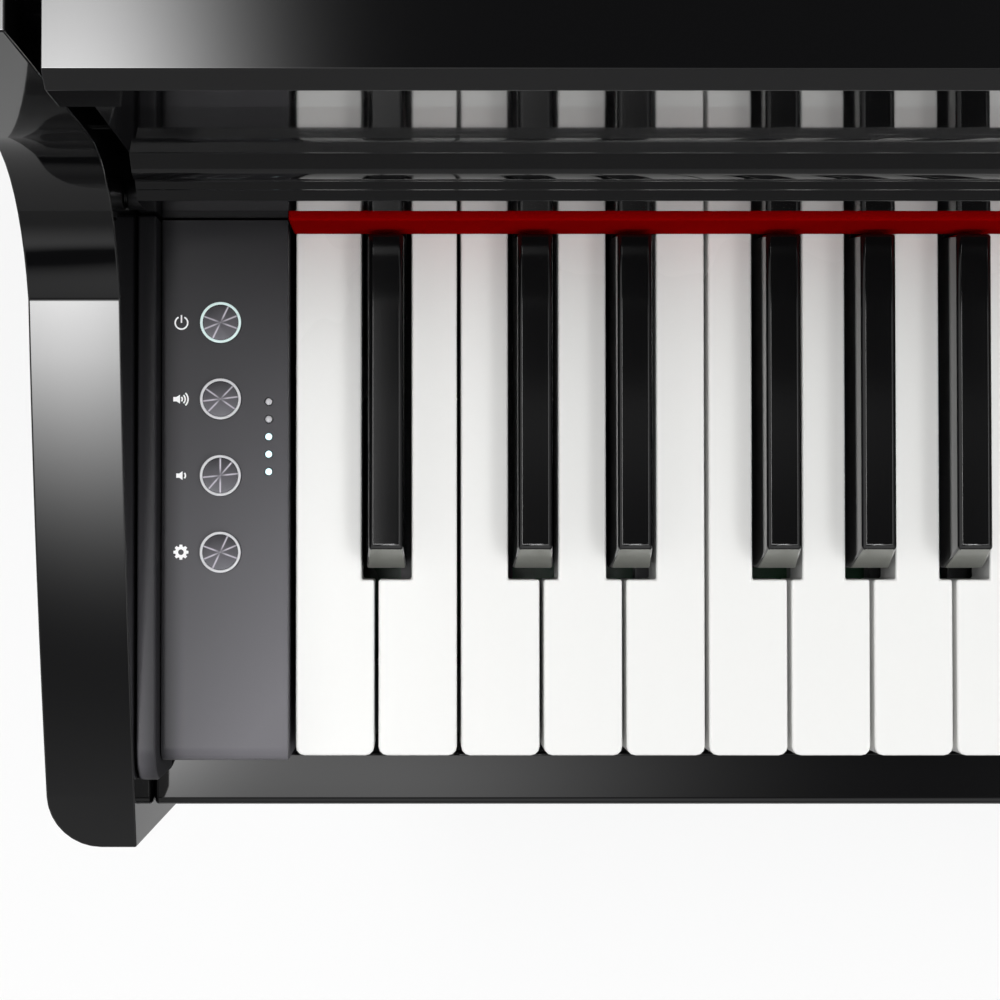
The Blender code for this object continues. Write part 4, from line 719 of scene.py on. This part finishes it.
SCREW_RADIUS = 0.0027
SCREW_HEIGHT = 0.0009
KNUCKLE_LENGTH = 0.0250
FLAP_PIN = 0.0015
FLAP_HINGE_INSET = 0.012


def slab(low, high, edge):
    """A box with rounded edges."""
    work = bmesh.new()
    bmesh.ops.create_cube(work, size=1.0)
    bmesh.ops.scale(work, vec=Vector(high) - Vector(low), verts=work.verts)
    bmesh.ops.translate(work, vec=(Vector(high) + Vector(low)) / 2, verts=work.verts)
    bmesh.ops.bevel(work, geom=work.edges[:], offset=edge, affect="EDGES", segments=2, profile=0.5,
                    material=-1)
    return to_mesh(work, "slab")


def screw(name, place, axis, material, body):
    """A low screw head: a disc under four quarters that leave the cross between them."""
    work = bmesh.new()
    groove = SCREW_RADIUS * 0.13
    first = math.degrees(math.asin(groove / SCREW_RADIUS))
    outline = [(groove, groove)] + bow(SCREW_RADIUS, first, 90 - first, 6)
    for quarter in range(4):
        turn = Matrix.Rotation(math.radians(90 * quarter), 4, "Z")
        corners = [work.verts.new(turn @ Vector((x, y, SCREW_HEIGHT * 0.4))) for x, y in outline]
        raised = bmesh.ops.extrude_face_region(work, geom=[work.faces.new(corners)], use_keep_orig=True)
        tops = [item for item in raised["geom"] if isinstance(item, bmesh.types.BMVert)]
        bmesh.ops.translate(work, vec=(0, 0, SCREW_HEIGHT * 0.6), verts=tops)
        for vert in tops:
            vert.co.x, vert.co.y = vert.co.x * 0.86, vert.co.y * 0.86
    work.from_mesh(spun("disc", ((0, 0), (SCREW_RADIUS, 0), (SCREW_RADIUS, SCREW_HEIGHT * 0.42),
                                 (0, SCREW_HEIGHT * 0.42)), (0, 0, 0), steps=24))
    bmesh.ops.recalc_face_normals(work, faces=work.faces)
    stand = Vector((0, 0, 1)).rotation_difference(Vector(axis)).to_matrix().to_4x4()
    bmesh.ops.transform(work, matrix=Matrix.Translation(place) @ stand, verts=work.verts)
    show(name, to_mesh(work, name), material, body)


def piano_hinge(name, pivot, radius, start, end, axis, body):
    """A row of knuckles on one pin."""
    way = Vector(axis)
    length = (end - start) / round((end - start) / KNUCKLE_LENGTH)
    rows = round((end - start) / length)
    half = length / 2 - 0.00025
    section = ((0, -half), (radius - 0.0003, -half), (radius, 0.0003 - half), (radius, half - 0.0003),
               (radius - 0.0003, half), (0, half))
    work = bmesh.new()
    for row in range(rows):
        place = Vector(pivot) + way * (start + length * (row + 0.5))
        work.from_mesh(spun("knuckle", section, place, axis, 24))
    reach = (end - start) / 2 - 0.0005
    core = ((0, -reach), (radius * 0.82, -reach), (radius * 0.82, reach), (0, reach))
    work.from_mesh(spun("core", core, Vector(pivot) + way * (start + end) / 2, axis, 24))
    return show(name, to_mesh(work, name), BRASS, body)


hinge_low, hinge_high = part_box("lid_hinge")
lid_axis = next(j for j in frame["joints"] if j["name"] == "lid_open")["pos_m"]
knuckle = (hinge_high.x - hinge_low.x) / 2
row = piano_hinge("lid_hinge_knuckles", (lid_axis[0], 0, lid_axis[2]), knuckle, hinge_low.y, hinge_high.y,
                  (0, 1, 0), "case")
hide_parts("lid_hinge")
side_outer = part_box("side_board_left")[0].x
leaf_outer = lid_axis[0] - 0.0010
leaf = slab((leaf_outer, hinge_low.y, hinge_low.z),
            (side_outer - 0.0002, hinge_high.y, lid_axis[2] - knuckle * 0.5), 0.0003)
show("lid_hinge_leaf", leaf, BRASS, "case")
SCREWS_ON_LEAF = 9
for index in range(SCREWS_ON_LEAF):
    y = hinge_low.y + (hinge_high.y - hinge_low.y) * (index + 0.5) / SCREWS_ON_LEAF
    place = (leaf_outer + 0.0002, y, hinge_low.z + 0.0065)
    screw(f"hinge_screw_{index + 1}", place, (-1, 0, 0), BRASS, "case")
flap_axis = next(j for j in frame["joints"] if j["name"] == "lid_flap_fold")["pos_m"]
lid_low, lid_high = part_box("lid_front_flap")
piano_hinge("lid_flap_hinge", (0, flap_axis[1], flap_axis[2]), FLAP_PIN, lid_low.x + FLAP_HINGE_INSET,
            lid_high.x - FLAP_HINGE_INSET, (1, 0, 0), "lid")
eased("prop_cup", BRASS, 0.0008, 2)

# Legs
#
# Three tapered lacquered legs, each on a round glide.

GLIDE_RADIUS = 0.024
ferrule = ((GLIDE_RADIUS - 0.0004, 0.0030), (GLIDE_RADIUS + 0.0004, 0.0034),
           (GLIDE_RADIUS + 0.0008, 0.0042), (GLIDE_RADIUS + 0.0008, 0.0078),
           (GLIDE_RADIUS + 0.0004, 0.0086), (GLIDE_RADIUS - 0.0004, 0.0090))
for node in ("leg_front_left", "leg_front_right", "leg_rear"):
    eased(node, LACQUER, 0.0035, 4)
    low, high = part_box(node)
    foot = ((low.x + high.x) / 2, (low.y + high.y) / 2, 0)
    show("glide_ring_of_" + node, spun(node, ferrule, foot), BRASS, "case")

# Pedal lyre
#
# Two lacquered posts carry the box in which the three brass pedals turn.

for node in ("pedal_lyre", "pedal_box"):
    eased(node, LACQUER, 0.0018, 3)
SLOT_HALF = 0.0092
PEDAL_FELT = worn("pedal_felt", (0.060, 0.004, 0.006), (0.085, 0.008, 0.010), 0.85, 0.95,
                  Specular_IOR_Level=0.0)
box_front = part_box("pedal_box")[0].y
for node in ("pedal_soft", "pedal_sostenuto", "pedal_damper"):
    eased(node, BRASS, 0.0015, 4)
    low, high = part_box(node)
    middle = (low.x + high.x) / 2
    for way in (-1, 1):
        near, far = sorted((middle + way * SLOT_HALF, middle + way * (SLOT_HALF - 0.0006)))
        felt = slab((near, box_front + 0.0004, low.z - 0.0100), (far, box_front + 0.0076, high.z + 0.0002),
                    0.0002)
        show(f"felt_of_{node}_{'left' if way < 0 else 'right'}", felt, PEDAL_FELT, "case")

# Socket boxes
#
# Black mouldings under the keybed: two headphone sockets at the front, the power inlet at
# the back.

for node in ("headphone_box", "power_inlet_box"):
    eased(node, CHASSIS, 0.0008, 3)
low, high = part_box("headphone_box")
jack_nut = ((0.0033, -0.0002), (0.0033, 0.0008), (0.0037, 0.0013), (0.0050, 0.0013), (0.0054, 0.0009),
            (0.0056, -0.0002))
for index, share in enumerate((0.28, 0.72)):
    place = (low.x + (high.x - low.x) * share, low.y, (low.z + high.z) / 2)
    nut = spun("nut", jack_nut, place, (0, -1, 0), 48)
    show(f"headphone_nut_{index + 1}", nut, PLATED_STEEL, "case")
low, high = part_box("power_inlet_box")
place = Vector(((low.x + high.x) / 2, high.y, (low.z + high.z) / 2))
inlet_rim = ((0.0041, -0.0002), (0.0041, 0.0006), (0.0045, 0.0010), (0.0062, 0.0010), (0.0066, -0.0002))
show("inlet_rim", spun("rim", inlet_rim, place, (0, 1, 0), 48), RUBBER, "case")
inlet_pin = ((0, -0.0120), (0.0010, -0.0120), (0.0010, -0.0024), (0.0006, -0.0018), (0, -0.0018))
show("inlet_pin", spun("pin", inlet_pin, place, (0, 1, 0), 24), PLATED_STEEL, "case")

# Studio
#
# The camera looks straight down on the bass end of the keyboard, over a pale floor.  The room
# is bright all round and dimmer overhead, with soft glows above and beside, and one shade.

CAMERA_PLACE = (-0.57495, key_front + 0.0611, 1.31837)
CAMERA_TILT = math.radians(1.1109)
CAMERA_LENS = 75.055
CAMERA_SHIFT = (0.07948, 0.0)
camera = bpy.data.objects.new("camera", bpy.data.cameras.new("camera"))
camera.location = CAMERA_PLACE
camera.rotation_euler = (CAMERA_TILT, 0, 0)
camera.data.lens = CAMERA_LENS
camera.data.sensor_width = 36.0
camera.data.shift_x, camera.data.shift_y = CAMERA_SHIFT
camera.data.clip_start = 0.05
bpy.context.scene.collection.objects.link(camera)
bpy.context.scene.camera = camera

FLOOR_SIZE = 60.0
floor_material = finish("pale_floor", (0.24, 0.24, 0.24), Roughness=0.9, Specular_IOR_Level=0.0)
floor_tree = floor_material.node_tree
FLOOR_GLOW = 0.73
MIRRORED_SHARE = 0.12


seen = floor_tree.nodes.new("ShaderNodeLightPath")
mirrored = tree_step(floor_tree, "MAXIMUM", seen.outputs["Is Glossy Ray"],
                     seen.outputs["Is Transmission Ray"])
shown = tree_step(floor_tree, "MAXIMUM", seen.outputs["Is Camera Ray"],
                  tree_step(floor_tree, "MULTIPLY", mirrored, MIRRORED_SHARE))
floor_shader = floor_tree.nodes["Principled BSDF"]
floor_shader.inputs["Emission Color"].default_value = (1, 1, 1, 1)
floor_tree.links.new(tree_step(floor_tree, "MULTIPLY", shown, FLOOR_GLOW),
                     floor_shader.inputs["Emission Strength"])
work = bmesh.new()
bmesh.ops.create_grid(work, x_segments=1, y_segments=1, size=FLOOR_SIZE / 2)
floor_mesh = to_mesh(work, "floor")
floor_mesh.materials.append(floor_material)
floor = bpy.data.objects.new("floor", floor_mesh)
bpy.context.scene.collection.objects.link(floor)

ROOM_HORIZON = 0.17
ROOM_MIDDLE = 0.62
ROOM_TOP = 0.03
ROOM_LEAN = (-0.25, -0.35)
GLOWS = (
    ("arm_glow", (-0.174, 0.010), (0.046, 0.180), 34.0, 9.0),
    ("arm_shade", (-0.360, -1.900), (0.120, 0.450), -1.1, 9.0),
    ("strip_glow", (0.100, 0.065), (0.140, 0.030), 0.16, 0.0734),
    ("slip_glow", (-0.025, -0.320), (0.088, 0.100), 2.35, 9.0),
    ("side_glow", (0.680, -0.100), (0.120, 0.350), 7.2, 9.0),
)
glow_group, given, out = new_group(
    "soft_glow",
    (("Across", "NodeSocketFloat", 0.0), ("Along", "NodeSocketFloat", 0.0),
     ("Middle Across", "NodeSocketFloat", 0.0), ("Middle Along", "NodeSocketFloat", 0.0),
     ("Spread Across", "NodeSocketFloat", 0.1), ("Spread Along", "NodeSocketFloat", 0.1),
     ("Peak", "NodeSocketFloat", 1.0), ("Rear Edge", "NodeSocketFloat", 9.0)),
    (("Level", "NodeSocketFloat"),))
squares = []
for way in ("Across", "Along"):
    offset = tree_step(glow_group, "SUBTRACT", given.outputs[way], given.outputs["Middle " + way])
    share = tree_step(glow_group, "DIVIDE", offset, given.outputs["Spread " + way])
    squares.append(tree_step(glow_group, "MULTIPLY", share, share))
reach = tree_step(glow_group, "ADD", *squares)
bell = tree_step(glow_group, "EXPONENT", tree_step(glow_group, "MULTIPLY", reach, -0.5))
before_edge = tree_step(glow_group, "LESS_THAN", given.outputs["Along"], given.outputs["Rear Edge"])
level = tree_step(glow_group, "MULTIPLY", bell, before_edge)
level = tree_step(glow_group, "MULTIPLY", level, given.outputs["Peak"])
glow_group.links.new(level, out.inputs["Level"])

world = bpy.data.worlds.new("pale_room")
world.use_nodes = True
bpy.context.scene.world = world
room_tree = world.node_tree


def room_band(height, low, high, start, end):
    """A level that eases from one value to another with the height of a direction."""
    band = room_tree.nodes.new("ShaderNodeMapRange")
    band.interpolation_type = "SMOOTHSTEP"
    for socket, value in (("From Min", low), ("From Max", high), ("To Min", start), ("To Max", end)):
        band.inputs[socket].default_value = value
    room_tree.links.new(height, band.inputs["Value"])
    return band.outputs["Result"]


outward = room_tree.nodes.new("ShaderNodeTexCoord")
parts = room_tree.nodes.new("ShaderNodeSeparateXYZ")
room_tree.links.new(outward.outputs["Generated"], parts.inputs["Vector"])
height = tree_step(room_tree, "MAXIMUM", parts.outputs["Z"], 0.05)
across = tree_step(room_tree, "DIVIDE", parts.outputs["X"], height)
along = tree_step(room_tree, "DIVIDE", parts.outputs["Y"], height)
walls = room_band(parts.outputs["Z"], 0.10, 0.36, ROOM_HORIZON, ROOM_MIDDLE)
ceiling = room_band(parts.outputs["Z"], 0.62, 0.90, 1.0, ROOM_TOP / ROOM_MIDDLE)
side_light = tree_step(room_tree, "MULTIPLY", parts.outputs["X"], ROOM_LEAN[0])
side_light = tree_step(room_tree, "ADD", side_light, 1.0)
front_light = tree_step(room_tree, "MULTIPLY", parts.outputs["Y"], ROOM_LEAN[1])
side_light = tree_step(room_tree, "ADD", front_light, side_light)
total = tree_step(room_tree, "MULTIPLY", tree_step(room_tree, "MULTIPLY", walls, ceiling), side_light)
for name, middle, spread, peak, edge in GLOWS:
    glow = room_tree.nodes.new("ShaderNodeGroup")
    glow.name = name
    glow.node_tree = glow_group
    room_tree.links.new(across, glow.inputs["Across"])
    room_tree.links.new(along, glow.inputs["Along"])
    for socket, value in zip(
            ("Middle Across", "Middle Along", "Spread Across", "Spread Along", "Peak", "Rear Edge"),
            (*middle, *spread, peak, edge)):
        glow.inputs[socket].default_value = value
    total = tree_step(room_tree, "ADD", total, glow.outputs["Level"])
looking = room_tree.nodes.new("ShaderNodeLightPath")
total = tree_step(room_tree, "MAXIMUM", total, looking.outputs["Is Camera Ray"])
room = room_tree.nodes["Background"]
room.inputs["Color"].default_value = (1, 1, 1, 1)
room_tree.links.new(total, room.inputs["Strength"])
bpy.context.scene.view_settings.view_transform = "Standard"
